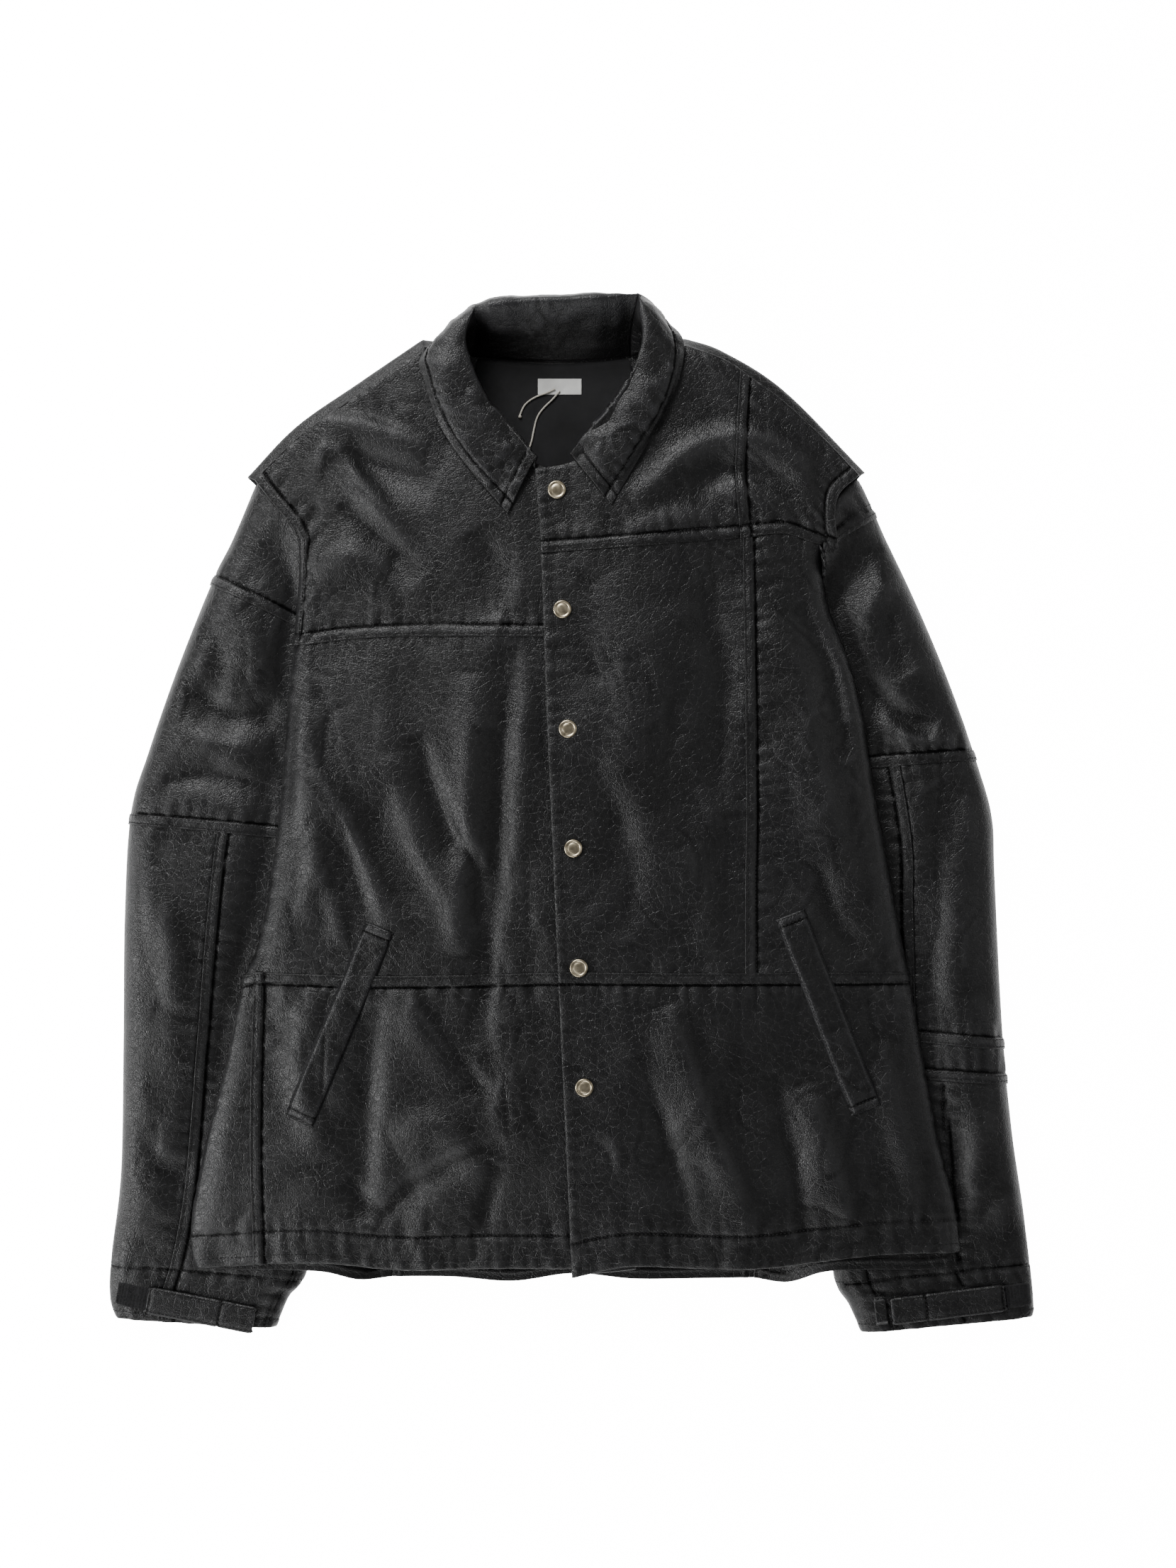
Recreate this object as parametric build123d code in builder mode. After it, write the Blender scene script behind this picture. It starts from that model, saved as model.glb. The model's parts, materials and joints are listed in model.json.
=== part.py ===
"""Black leather snap-front jacket laid flat on its back, modelled as separate sewn pieces.

+X points to the wearer's left, +Y from the hem to the collar, +Z up from the surface it lies on.
The origin lies on that surface, in the middle of the jacket. All sizes are millimetres.
"""
import os
from math import cos, radians, sin

from build123d import *

os.makedirs("parts", exist_ok=True)

# ---------------------------------------------------------------- driving dimensions
leather = 1.3              # garment leather with its interlining
lining = 0.6               # woven lining
ply_gap = 0.3              # air between stacked plies
seam_gap = 0.4             # between two panels that are sewn edge to edge
body_clearance = 0.5       # between pieces that move against each other

neck_y = 387.0             # neck end of the shoulder seam
body_length = 754.0        # neck end of the shoulder seam to the hem
shoulder_width = 492.0     # sleeve seam to sleeve seam
shoulder_drop = 104.0      # from the neck end to the sleeve end of the shoulder seam
chest_width = 437.0        # under the armholes, edge to edge of the laid body
chest_depth = 205.0        # from the neck end down to that width
waist_width = 546.0        # along the waist seam
waist_height = 242.0       # waist seam above the hem
hem_width = 636.0
hem_turn = 26.0            # depth of the turned hem
shoulder_centre = -13.5    # how the middle of the body lies at each level
chest_centre = -7.5
waist_centre = 5.0
hem_centre = 3.5

right_yoke_depth = 238.0   # neck end to the cross seam on the right front
left_yoke_depth = 167.0    # neck end to the cross seam on the left front
left_long_seam = 141.0     # lengthwise seam on the left front, from the middle
right_side_seam = 262.0    # side seam of the right skirt, from the middle

crown_radius = 3200.0      # the fronts fall away to the sides on this radius
sleeve_crown = 15.0        # height of a sleeve laid flat
sleeve_roll = 24.0         # width of the rounded edge of a sleeve
sleeve_gap = 1.5           # between a sleeve and the side panel over it
side_room = 2.0            # left inside the body at the lowest corner of the closed right front
back_half_width = 150.0    # half width of the back's flat middle
ramp_width = 62.0          # how far out the side panels reach that lift
back_yoke_y = 226.0        # cross seam of the back

neck_right_x = -122.0      # neck ends of the two shoulder seams
neck_left_x = 91.0
right_fold_x = -127.0      # line on which each front folds open
left_fold_x = 92.0
placket_top = (-30.7, 287.0)
placket_slant = 30.0       # how far the front edge drifts over the body length
placket_tail = 7.0         # the front edge hangs below the hem
underlap = 32.0            # how far the right front reaches under the left
facing_width = 52.0

snap_count = 6
snap_pitch = 97.5
snap_first_y = 270.0
snap_inset = 17.0          # snap axis from the front edge
cap_diameter = 15.0
cap_height = 2.0
post_diameter = 4.0
post_clearance = 0.1
socket_diameter = 12.0
socket_height = 2.8
socket_roof = 0.8
socket_bore = 5.8
stud_diameter = 4.6
stud_flange_diameter = 10.0
stud_flange = 0.6
stud_engagement = 1.6

welt_length = 173.0
welt_width = 26.0
welt_thickness = 2.4
right_welt = (-191.3, -167.0, -22.8)   # middle x, y and turn in degrees
left_welt = (209.0, -156.7, 21.3)
slit_width = 5.0
slit_length = 150.0
bag_length = 150.0         # pocket bag, from the mouth to its closed end
bag_width = 64.0
bag_depth = 6.6
bag_wall = 0.7
bag_top_y = -104.0
bag_inner_x = 132.0        # from the middle to the nearer edge of a bag

collar_lift = 1.2          # collar leaves above the fronts they lie on
collar_ply = 2.2
collar_back_rise = 46.0    # height of the collar's fold behind the neck
collar_back_y = 424.0
label_size = (36.0, 13.0, 0.5)
label_place = (-11.0, 360.0)
string_diameter = 1.5
tag_size = (28.0, 46.0, 0.6)
tab_thickness = 2.2
tab_width = 22.0
patch_thickness = 1.0

# Each seam across a sleeve: run from the one before along the outer edge, the outer edge's splay
# from straight down, the sleeve's laid width there, and the seam's slant towards the body.
right_sleeve_seams = [
    (1.5, 0, 90, -58),
    (93, 24, 97, -24),
    (212, 19, 163, -6),
    (362, 2.4, 163, -1),
    (46, -1, 142, -6),
]
left_sleeve_seams = [
    (1.5, 0, 88, -73),
    (45, 30, 56, -25),
    (210, 22.7, 137, -5),
    (242, 5, 146, 2),
    (32, 4, 147, 2.5),
    (161, 6.8, 163, 2.5),
    (27, 5, 154, -6),
]

hem_y = neck_y - body_length
tip_y = neck_y - shoulder_drop
chest_y = neck_y - chest_depth
waist_y = hem_y + waist_height
right_yoke_y = neck_y - right_yoke_depth
left_yoke_y = neck_y - left_yoke_depth
right_tip = (shoulder_centre - shoulder_width / 2, tip_y)
left_tip = (shoulder_centre + shoulder_width / 2, tip_y)
snap_stack = leather + ply_gap + leather + socket_height + ply_gap + stud_flange
right_drop = snap_stack    # the right front lies this much lower, so that the snaps fit between
facing_drop = leather + ply_gap

# The back's side panels lie over the sleeves, and over the cuff tabs too where the body is that long.
cuff_y = tip_y - sum(run * cos(radians(splay)) for run, splay, width, slant in right_sleeve_seams)
tab_stack = 2 * patch_thickness + ply_gap + tab_thickness + 0.05
covers_tabs = hem_y - placket_tail < cuff_y + 30
side_lift = sleeve_crown + sleeve_gap + (tab_stack if covers_tabs else 0)
side_fall = (hem_width / 2) ** 2 / (2 * crown_radius)
crown_top = side_lift + leather + side_room + lining + facing_drop + right_drop + side_fall


# ---------------------------------------------------------------- helpers
def finish(builder, label):
    """Labels a finished piece and writes it to parts/."""
    builder.part.label = label
    export_step(builder.part, f"parts/{label}.step")
    return builder.part


def between(y, upper, lower):
    """x on the straight line from one (x, y) point to another, at height y."""
    share = (upper[1] - y) / (upper[1] - lower[1])
    return upper[0] + share * (lower[0] - upper[0])


def crown(x, drop=0.0):
    """Height of a front's outer face at x."""
    return crown_top - drop - x * x / (2 * crown_radius)


def front_edge(y):
    """x of the left front's free edge at height y."""
    return placket_top[0] + placket_slant * (placket_top[1] - y) / (placket_top[1] - hem_y)


def side_edge(y, side):
    """x of the laid body's side at height y. side is -1 for the right front and 1 for the left."""
    chest = (chest_centre + side * chest_width / 2, chest_y)
    waist = (waist_centre + side * waist_width / 2, waist_y)
    hem = (hem_centre + side * hem_width / 2, hem_y)
    if y >= waist_y:
        return between(y, chest, waist)
    return between(y, waist, hem)


def shoulder_line(x, side):
    """y of the shoulder seam at x: a straight slope with a soft bow above it."""
    tip = right_tip if side < 0 else left_tip
    neck_x = neck_right_x if side < 0 else neck_left_x
    share = (x - neck_x) / (tip[0] - neck_x)
    bow = 0.18 * shoulder_drop
    return neck_y - shoulder_drop * share + bow * 4 * share * (1 - share)


def crowned_piece(outline, drop, thickness, holes=(), hole_radius=0.0, slit=None):
    """A sheet that follows the crown of the fronts, cut to an outline with half a seam gap all round.

    holes are the snaps' places and slit is the place (x, y, turn) of a pocket's slot.
    """
    reach = 420.0
    with BuildPart() as piece:
        with BuildSketch(Plane.XZ.offset(-reach - 60)):
            with BuildLine():
                outer = [(-reach, crown(reach, drop)), (0, crown(0, drop)), (reach, crown(reach, drop))]
                inner = [(x, z - thickness) for x, z in outer]
                ThreePointArc(*outer)
                Line(outer[2], inner[2])
                ThreePointArc(*reversed(inner))
                Line(inner[0], outer[0])
            make_face()
        extrude(amount=2 * reach + 120)
        with BuildSketch(Plane.XY):
            with BuildLine():
                Polyline(*outline, close=True)
            make_face()
            offset(amount=-seam_gap / 2, kind=Kind.INTERSECTION)
            if holes:
                with Locations(*holes):
                    Circle(hole_radius, mode=Mode.SUBTRACT)
            if slit:
                with Locations(Location((slit[0], slit[1], 0), (0, 0, slit[2]))):
                    SlotOverall(slit_length, slit_width, rotation=90, mode=Mode.SUBTRACT)
        extrude(amount=crown_top + 10, mode=Mode.INTERSECT)
    return piece


def slab(outline, bottom, thickness):
    """A flat sheet with half a seam gap all round."""
    with BuildPart() as piece:
        with BuildSketch(Plane.XY.offset(bottom)):
            with BuildLine():
                Polyline(*outline, close=True)
            make_face()
            offset(amount=-seam_gap / 2, kind=Kind.INTERSECTION)
        extrude(amount=thickness)
    return piece


# ---------------------------------------------------------------- snap places
snap_points = []
for index in range(snap_count):
    snap_y = snap_first_y - index * snap_pitch
    snap_points.append((front_edge(snap_y) + snap_inset, snap_y))
post_hole = post_diameter / 2 + post_clearance

# ---------------------------------------------------------------- left front, the overlapping one
left_neckline = [(placket_top[0] + 23, placket_top[1] + 3), (30, 312), (66, 350), (left_fold_x, neck_y)]


def left_outline(top_y, bottom_y, tail=0.0):
    """Outline of the folding part of a left front panel between two cross seams."""
    return [
        (front_edge(top_y), top_y),
        (left_fold_x, top_y),
        (left_fold_x, bottom_y),
        (front_edge(bottom_y), bottom_y - tail),
    ]


def snaps_between(top_y, bottom_y):
    return [point for point in snap_points if bottom_y < point[1] < top_y]


yoke_top = [placket_top, *left_neckline]
finish(
    crowned_piece(
        [*yoke_top, (left_fold_x, left_yoke_y), (front_edge(left_yoke_y), left_yoke_y)],
        0, leather, snaps_between(neck_y, left_yoke_y), post_hole,
    ),
    "left_yoke_front",
)
chest_snaps = snaps_between(left_yoke_y, waist_y)
skirt_snaps = snaps_between(waist_y, hem_y)
finish(
    crowned_piece(left_outline(left_yoke_y, waist_y), 0, leather, chest_snaps, post_hole),
    "left_chest_front",
)
finish(
    crowned_piece(left_outline(waist_y, hem_y, placket_tail), 0, leather, skirt_snaps, post_hole),
    "left_skirt_front",
)

left_facing_outline = [
    placket_top,
    left_neckline[0],
    (front_edge(placket_top[1]) + facing_width, placket_top[1]),
    (front_edge(hem_y) + facing_width, hem_y),
    (front_edge(hem_y), hem_y - placket_tail),
]
finish(crowned_piece(left_facing_outline, facing_drop, leather, snap_points, post_hole), "left_facing")
lining_top = placket_top[1]
finish(
    crowned_piece(
        [
            (front_edge(lining_top) + facing_width, lining_top),
            (66, 346),
            (left_fold_x, neck_y - 8),
            (left_fold_x, hem_y + hem_turn),
            (front_edge(hem_y + hem_turn) + facing_width, hem_y + hem_turn),
        ],
        facing_drop, lining,
    ),
    "left_lining_front",
)

# the part of the left front that stays with the body
long_x = left_long_seam
left_chest_side = side_edge(chest_y, 1)
left_armhole = [
    left_tip,
    (left_tip[0] - 14, tip_y - 20),
    (left_tip[0] - 15, tip_y - 40),
    (left_tip[0] - 11, left_yoke_y + 4),
]
finish(
    crowned_piece(
        [
            (left_fold_x, neck_y),
            (long_x, shoulder_line(long_x, 1)),
            (long_x - 3, left_yoke_y + 11),
            (left_fold_x, left_yoke_y),
        ],
        0, leather,
    ),
    "left_yoke_panel",
)
finish(
    crowned_piece(
        [
            (long_x, shoulder_line(long_x, 1)),
            *[(x, shoulder_line(x, 1)) for x in (long_x + 32, long_x + 62)],
            *left_armhole,
            (left_tip[0] - 33, left_yoke_y + 8),
            (left_tip[0] - 71, left_yoke_y + 17),
            (long_x - 3, left_yoke_y + 11),
        ],
        0, leather,
    ),
    "left_shoulder_panel",
)
finish(
    crowned_piece(
        [
            (left_fold_x, left_yoke_y),
            (long_x - 3, left_yoke_y + 11),
            (long_x + 3, waist_y),
            (left_fold_x, waist_y),
        ],
        0, leather,
    ),
    "left_chest_panel",
)
finish(
    crowned_piece(
        [
            (long_x - 3, left_yoke_y + 11),
            (left_tip[0] - 71, left_yoke_y + 17),
            (left_tip[0] - 33, left_yoke_y + 8),
            left_armhole[-1],
            (left_chest_side, chest_y),
            (side_edge(waist_y, 1), waist_y),
            (long_x + 3, waist_y),
        ],
        0, leather,
    ),
    "left_side_chest_panel",
)


left_skirt = crowned_piece(
    [
        (left_fold_x, waist_y),
        (side_edge(waist_y, 1), waist_y),
        (side_edge(hem_y + hem_turn, 1), hem_y + hem_turn),
        (side_edge(hem_y, 1) - 5, hem_y + 6),
        (left_fold_x, hem_y),
    ],
    0, leather, slit=left_welt,
)
finish(left_skirt, "left_skirt_panel")

# ---------------------------------------------------------------- right front, the underlapping one
def under_edge(y):
    """x of the right front's free edge, under the left front."""
    return front_edge(y) + underlap


right_neckline = [(right_fold_x, neck_y), (-100, 345), (-62, 308), (-28, 288), (under_edge(285), 285)]
finish(
    crowned_piece(
        [*right_neckline, (under_edge(right_yoke_y), right_yoke_y), (right_fold_x, right_yoke_y)],
        right_drop, leather, snaps_between(neck_y, right_yoke_y), post_hole,
    ),
    "right_yoke_front",
)
finish(
    crowned_piece(
        [
            (right_fold_x, right_yoke_y),
            (under_edge(right_yoke_y), right_yoke_y),
            (under_edge(waist_y), waist_y),
            (right_fold_x, waist_y),
        ],
        right_drop, leather, snaps_between(right_yoke_y, waist_y), post_hole,
    ),
    "right_chest_front",
)
finish(
    crowned_piece(
        [
            (right_fold_x, waist_y),
            (under_edge(waist_y), waist_y),
            (under_edge(hem_y), hem_y),
            (right_fold_x, hem_y),
        ],
        right_drop, leather, skirt_snaps, post_hole,
    ),
    "right_skirt_front",
)
right_facing_top = 285.0
finish(
    crowned_piece(
        [
            (under_edge(right_facing_top) - facing_width, right_facing_top),
            (under_edge(right_facing_top), right_facing_top),
            (under_edge(hem_y), hem_y),
            (under_edge(hem_y) - facing_width, hem_y),
        ],
        right_drop + facing_drop, leather, snap_points, post_hole,
    ),
    "right_facing",
)
finish(
    crowned_piece(
        [
            (right_fold_x, neck_y - 10),
            (-98, 338),
            (-62, 303),
            (under_edge(right_facing_top) - facing_width, right_facing_top),
            (under_edge(hem_y + hem_turn) - facing_width, hem_y + hem_turn),
            (right_fold_x, hem_y + hem_turn),
        ],
        right_drop + facing_drop, lining,
    ),
    "right_lining_front",
)

right_armhole = [
    right_tip,
    (right_tip[0] + 17, tip_y - 20),
    (right_tip[0] + 29, tip_y - 40),
    (right_tip[0] + 36, tip_y - 56),
]
finish(
    crowned_piece(
        [
            (right_fold_x, shoulder_line(right_fold_x, -1)),
            *[(x, shoulder_line(x, -1)) for x in (-160, -195, -228)],
            *right_armhole,
            (side_edge(right_yoke_y, -1) + 3, right_yoke_y),
            (right_fold_x, right_yoke_y),
        ],
        right_drop, leather,
    ),
    "right_yoke_panel",
)
finish(
    crowned_piece(
        [
            (right_fold_x, right_yoke_y),
            (side_edge(right_yoke_y, -1) + 3, right_yoke_y),
            (side_edge(waist_y, -1), waist_y),
            (right_fold_x, waist_y),
        ],
        right_drop, leather,
    ),
    "right_chest_panel",
)
right_skirt = crowned_piece(
    [(right_fold_x, waist_y), (-right_side_seam, waist_y), (-right_side_seam, hem_y), (right_fold_x, hem_y)],
    right_drop, leather, slit=right_welt,
)
finish(right_skirt, "right_skirt_panel")
finish(
    crowned_piece(
        [
            (-right_side_seam, waist_y),
            (side_edge(waist_y, -1), waist_y),
            (side_edge(hem_y + hem_turn, -1), hem_y + hem_turn),
            (side_edge(hem_y, -1) + 10, hem_y - 2),
            (-right_side_seam, hem_y),
        ],
        right_drop, leather,
    ),
    "right_side_panel",
)

# linings of the two outer halves, one node
lining_inset = 14.0


def outer_lining(side, fold_x, drop, slit):
    """Lining behind the part of a front that stays with the body."""
    outline = [
        (fold_x, neck_y - 60),
        (side_edge(chest_y, side) - side * lining_inset, chest_y),
        (side_edge(waist_y, side) - side * lining_inset, waist_y),
        (side_edge(hem_y, side) - side * lining_inset, hem_y + hem_turn),
        (fold_x, hem_y + hem_turn),
    ]
    return crowned_piece(outline, drop + facing_drop, lining, slit=slit)


finish(outer_lining(1, left_fold_x, 0, left_welt), "left_outer_lining")
finish(outer_lining(-1, right_fold_x, right_drop, right_welt), "right_outer_lining")

# ---------------------------------------------------------------- pockets
def welt(place, drop):
    """A welt pocket's folded leather strip, lying on the front."""
    x, y, turn = place
    half = welt_length / 2 * abs(sin(radians(turn))) + welt_width / 2
    seat = max(crown(x - half, drop), crown(x + half, drop)) + ply_gap
    with BuildPart() as strip:
        with BuildSketch(Plane.XY.offset(seat)):
            with Locations(Location((x, y, 0), (0, 0, turn))):
                Rectangle(welt_width, welt_length)
        extrude(amount=welt_thickness)
        chamfer(strip.faces().sort_by(Axis.Z)[-1].edges(), welt_thickness / 3)
    return strip


finish(welt(right_welt, right_drop), "right_pocket_welt")
finish(welt(left_welt, 0), "left_pocket_welt")

with BuildPart() as pocket_bags:
    for side, drop in ((-1, right_drop), (1, 0.0)):
        bag_top = crown(bag_inner_x + bag_width, drop) - facing_drop - lining - ply_gap
        middle = (side * (bag_inner_x + bag_width / 2), bag_top_y - bag_length / 2, bag_top - bag_depth / 2)
        with Locations(middle):
            Box(bag_width, bag_length, bag_depth)
        mouth = (middle[0], middle[1] + bag_wall, middle[2])
        with Locations(mouth):
            Box(bag_width - 2 * bag_wall, bag_length, bag_depth - 2 * bag_wall, mode=Mode.SUBTRACT)
finish(pocket_bags, "pocket_bags")

# ---------------------------------------------------------------- back
finish(
    slab(
        [
            (-back_half_width, back_yoke_y),
            (back_half_width, back_yoke_y),
            (back_half_width, hem_y),
            (-back_half_width, hem_y),
        ],
        0, leather,
    ),
    "back_centre_panel",
)


def back_side(side):
    """The back's side panel: it climbs from the surface and then lies level over the sleeve."""
    knee = back_half_width + ramp_width
    reach = hem_width / 2 + 40
    profile = [(back_half_width, 0), (knee, side_lift), (reach, side_lift)]
    with BuildPart() as panel:
        with BuildSketch(Plane.XZ.offset(-body_length)):
            with BuildLine():
                lower = [(side * x, z) for x, z in profile]
                upper = [(x, z + leather) for x, z in reversed(lower)]
                Polyline(*lower, *upper, close=True)
            make_face()
        extrude(amount=2 * body_length)
        edge = [
            (side_edge(back_yoke_y - 45, side) - side * 6, back_yoke_y - 45),
            (side_edge(waist_y, side) - side * 3, waist_y),
            (side_edge(hem_y, side) - side * 3, hem_y),
        ]
        inner = [(side * back_half_width, hem_y), (side * back_half_width, back_yoke_y)]
        with BuildSketch(Plane.XY):
            with BuildLine():
                Polyline(*inner, (side * (knee - 12), back_yoke_y), *edge, close=True)
            make_face()
            offset(amount=-seam_gap / 2, kind=Kind.INTERSECTION)
        extrude(amount=side_lift + 10, mode=Mode.INTERSECT)
    return panel


finish(back_side(1), "back_left_side_panel")
finish(back_side(-1), "back_right_side_panel")

neck_half = 70.0           # half width of the back neckline
neck_centre = (neck_left_x + neck_right_x) / 2
shoulder_foot = 84.0       # how far below the shoulder line the yoke leaves the surface


def shoulder_ramp(side, drop):
    """Part of the back yoke that climbs from the surface to the shoulder seam."""
    tip = right_tip if side < 0 else left_tip
    neck = (neck_right_x if side < 0 else neck_left_x, neck_y)
    start = Vector(neck[0] + side * 4, neck[1] - 6)
    end = Vector(tip[0] - side * 18, tip[1] + 2)
    along = (end - start).normalized()
    plane = Plane(origin=(start.X, start.Y, 0), x_dir=along, z_dir=(along.Y, -along.X, 0))
    under = facing_drop + lining + ply_gap
    high = [crown(start.X, drop) - under, crown(end.X, drop) - under]
    length = (end - start).length
    foot_start = Vector(neck_centre + side * neck_half, neck_y - shoulder_foot)
    foot_end = Vector(side * (back_half_width - 1), back_yoke_y + 3)
    foot_along = (foot_end - foot_start).normalized()
    foot_plane = Plane(
        origin=(foot_start.X, foot_start.Y, 0), x_dir=foot_along, z_dir=(foot_along.Y, -foot_along.X, 0)
    )
    with BuildPart() as ramp:
        with BuildSketch(plane):
            with BuildLine():
                top_line = [(length, high[1]), (0, high[0])]
                Polyline((0, high[0] - leather), (length, high[1] - leather), *top_line, close=True)
            make_face()
        with BuildSketch(foot_plane):
            with BuildLine():
                foot = (foot_end - foot_start).length
                Polyline((0, 0), (foot, 0), (foot, leather), (0, leather), close=True)
            make_face()
        loft(ruled=True)
    return ramp


with BuildPart() as back_yoke:
    add(
        slab(
            [
                (-back_half_width, back_yoke_y),
                (neck_centre - neck_half + 1, neck_y - shoulder_foot + 3),
                (neck_centre - neck_half + 1, neck_y - 4),
                (neck_centre + neck_half - 1, neck_y - 4),
                (neck_centre + neck_half - 1, neck_y - shoulder_foot + 3),
                (back_half_width, back_yoke_y),
            ],
            0, leather,
        )
    )
    add(shoulder_ramp(-1, right_drop))
    add(shoulder_ramp(1, 0))
finish(back_yoke, "back_yoke")

lining_z = leather + ply_gap
finish(
    slab(
        [
            (-back_half_width + 8, hem_y + hem_turn),
            (back_half_width - 8, hem_y + hem_turn),
            (back_half_width - 8, back_yoke_y - 12),
            (neck_centre + neck_half - 6, neck_y - shoulder_foot),
            (neck_centre + neck_half - 6, neck_y - 8),
            (neck_centre - neck_half + 6, neck_y - 8),
            (neck_centre - neck_half + 6, neck_y - shoulder_foot),
            (-back_half_width + 8, back_yoke_y - 12),
        ],
        lining_z, lining,
    ),
    "back_lining",
)

# ---------------------------------------------------------------- collar
collar_foot_y = neck_y - 3
stand_left_x = neck_centre + neck_half - 1.2
stand_right_x = neck_centre - neck_half - 1.2
fold_y = collar_back_y - 8
with BuildPart() as stand_back:
    with BuildSketch(Plane.YZ.offset(stand_right_x)):
        with BuildLine():
            Polyline(
                (collar_foot_y, 0),
                (collar_foot_y + collar_ply, 0),
                (fold_y, collar_back_rise),
                (fold_y - collar_ply, collar_back_rise),
                close=True,
            )
        make_face()
    extrude(amount=stand_left_x - stand_right_x)
finish(stand_back, "collar_stand_back")

with BuildPart() as fall_back:
    with BuildSketch(Plane.YZ.offset(stand_right_x)):
        outer_y = collar_back_y + collar_ply
        top = collar_back_rise + 4
        with BuildLine():
            Polyline(
                (fold_y + ply_gap + 0.2, collar_back_rise + ply_gap),
                (fold_y + 1, top),
                (outer_y - 1, top),
                (outer_y, top - 1),
                (outer_y, 7),
                (outer_y - collar_ply, 7),
                (outer_y - collar_ply, collar_back_rise + ply_gap),
                close=True,
            )
        make_face()
    extrude(amount=stand_left_x - stand_right_x)
finish(fall_back, "collar_fall_back")

right_leaf = [
    (stand_right_x - 1, 414), (-106, 397), (-121.5, 386), (-124.5, 373), (-117, 348), (-106, 320), (-83, 288),
    (-53, 251), (-38.5, 273), (-34, 285), (-33.5, 297), (-40, 313), (-56, 325.5), (-78, 342), (-86.5, 385),
]
left_leaf = [
    (stand_left_x + 1, 424), (73, 408), (87.5, 395), (89.3, 387), (86.4, 370.5), (73, 341.5), (52, 299),
    (36, 263),
    (32, 257.5), (11.5, 275), (-7.5, 300.5), (8, 318.5), (28, 335), (45.5, 369), (stand_left_x + 1, 385),
]
fold_axis_z = []
for label, leaf, drop in (("right", right_leaf, right_drop), ("left", left_leaf, 0)):
    leaf_z = crown_top - drop + collar_lift
    finish(slab(leaf, leaf_z, collar_ply), f"{label}_under_collar")
    finish(slab(leaf, leaf_z + collar_ply + ply_gap, collar_ply), f"{label}_collar_leaf")
    fold_axis_z.append(leaf_z + 1.3 * collar_ply)

# ---------------------------------------------------------------- snaps
def cap_seat(x):
    """Height on which a cap sits: the highest leather under its rim."""
    return crown(max(0.0, abs(x) - cap_diameter / 2)) + 0.05


with BuildPart() as caps:
    for x, y in snap_points:
        seat = cap_seat(x)
        with BuildSketch(Plane.XY.offset(seat)):
            with Locations((x, y)):
                Circle(cap_diameter / 2)
        extrude(amount=cap_height)
        with BuildSketch(Plane.XY.offset(seat)):
            with Locations((x, y)):
                Circle(post_diameter / 2)
        extrude(amount=-(seat - crown(x)) - 2 * leather - ply_gap + 0.02)
    circles = caps.edges().filter_by(GeomType.CIRCLE)
    rims = circles.filter_by(lambda e: abs(e.radius - cap_diameter / 2) < 0.01)
    fillet([e for e in rims if e.center().Z > crown_top + cap_height / 2], cap_height * 0.45)
finish(caps, "snap_caps")

with BuildPart() as sockets:
    for x, y in snap_points:
        roof_z = crown(x) - 2 * leather - ply_gap - 0.1
        with BuildSketch(Plane.XY.offset(roof_z - socket_height)):
            with Locations((x, y)):
                Circle(socket_diameter / 2)
        extrude(amount=socket_height)
        with BuildSketch(Plane.XY.offset(roof_z - socket_height)):
            with Locations((x, y)):
                Circle(socket_bore / 2)
        extrude(amount=socket_height - socket_roof, mode=Mode.SUBTRACT)
finish(sockets, "snap_sockets")

with BuildPart() as studs:
    for x, y in snap_points:
        seat = crown(max(0.0, abs(x) - stud_flange_diameter / 2), right_drop) + 0.03
        below = seat - 2 * leather - ply_gap - 0.12
        for bottom, height, radius in (
            (seat, stud_flange, stud_flange_diameter / 2),
            (seat + stud_flange, stud_engagement, stud_diameter / 2),
            (below, seat - below, post_diameter / 2),
            (below - stud_flange, stud_flange, stud_flange_diameter / 2),
        ):
            with BuildSketch(Plane.XY.offset(bottom)):
                with Locations((x, y)):
                    Circle(radius)
            extrude(amount=height)
finish(studs, "snap_studs")

# ---------------------------------------------------------------- sleeves
def sleeve_stations(tip, seams, side):
    """Outer and inner end of each cross seam. side is -1 for the right sleeve."""
    stations = []
    x, y = tip[0] + side * body_clearance, tip[1] - body_clearance
    for run, splay, width, slant in seams:
        x += side * run * sin(radians(splay))
        y -= run * cos(radians(splay))
        inner = (x - side * width * cos(radians(slant)), y + width * sin(radians(slant)))
        stations.append(((x, y), inner))
    return stations


def sleeve_section(station, start, stop):
    """Closed section of the top sheet over a share of the sleeve's width, in the seam's upright plane."""
    outer, inner = Vector(*station[0]), Vector(*station[1])
    along = (inner - outer).normalized()
    width = (inner - outer).length
    plane = Plane(origin=(outer.X, outer.Y, 0), x_dir=along, z_dir=(along.Y, -along.X, 0))
    rise = sleeve_crown - 2 * leather
    roll_radius = (sleeve_roll ** 2 + rise ** 2) / (2 * rise)

    def height(s):
        run_in = min(s, width - s)
        if run_in >= sleeve_roll:
            return sleeve_crown
        return sleeve_crown - roll_radius + (roll_radius ** 2 - (sleeve_roll - run_in) ** 2) ** 0.5

    half_gap = seam_gap / 2
    first = start * width + (half_gap if start > 0 else 0)
    last = stop * width - (half_gap if stop < 1 else 0)
    with BuildSketch(plane) as section:
        with BuildLine():
            for drop in (0.0, leather):
                spans = []
                if start == 0:
                    spans.append((first, sleeve_roll))
                flat_from = sleeve_roll if start == 0 else first
                flat_to = width - sleeve_roll if stop == 1 else last
                if stop == 1:
                    spans.append((width - sleeve_roll, last))
                for a, b in spans:
                    middle = (a + b) / 2
                    arc = [(at, height(at) - drop) for at in (a, middle, b)]
                    ThreePointArc(*arc)
                Line((flat_from, sleeve_crown - drop), (flat_to, sleeve_crown - drop))
            Line((first, height(first)), (first, height(first) - leather))
            Line((last, height(last)), (last, height(last) - leather))
        make_face()
    return section.sketch


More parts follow.
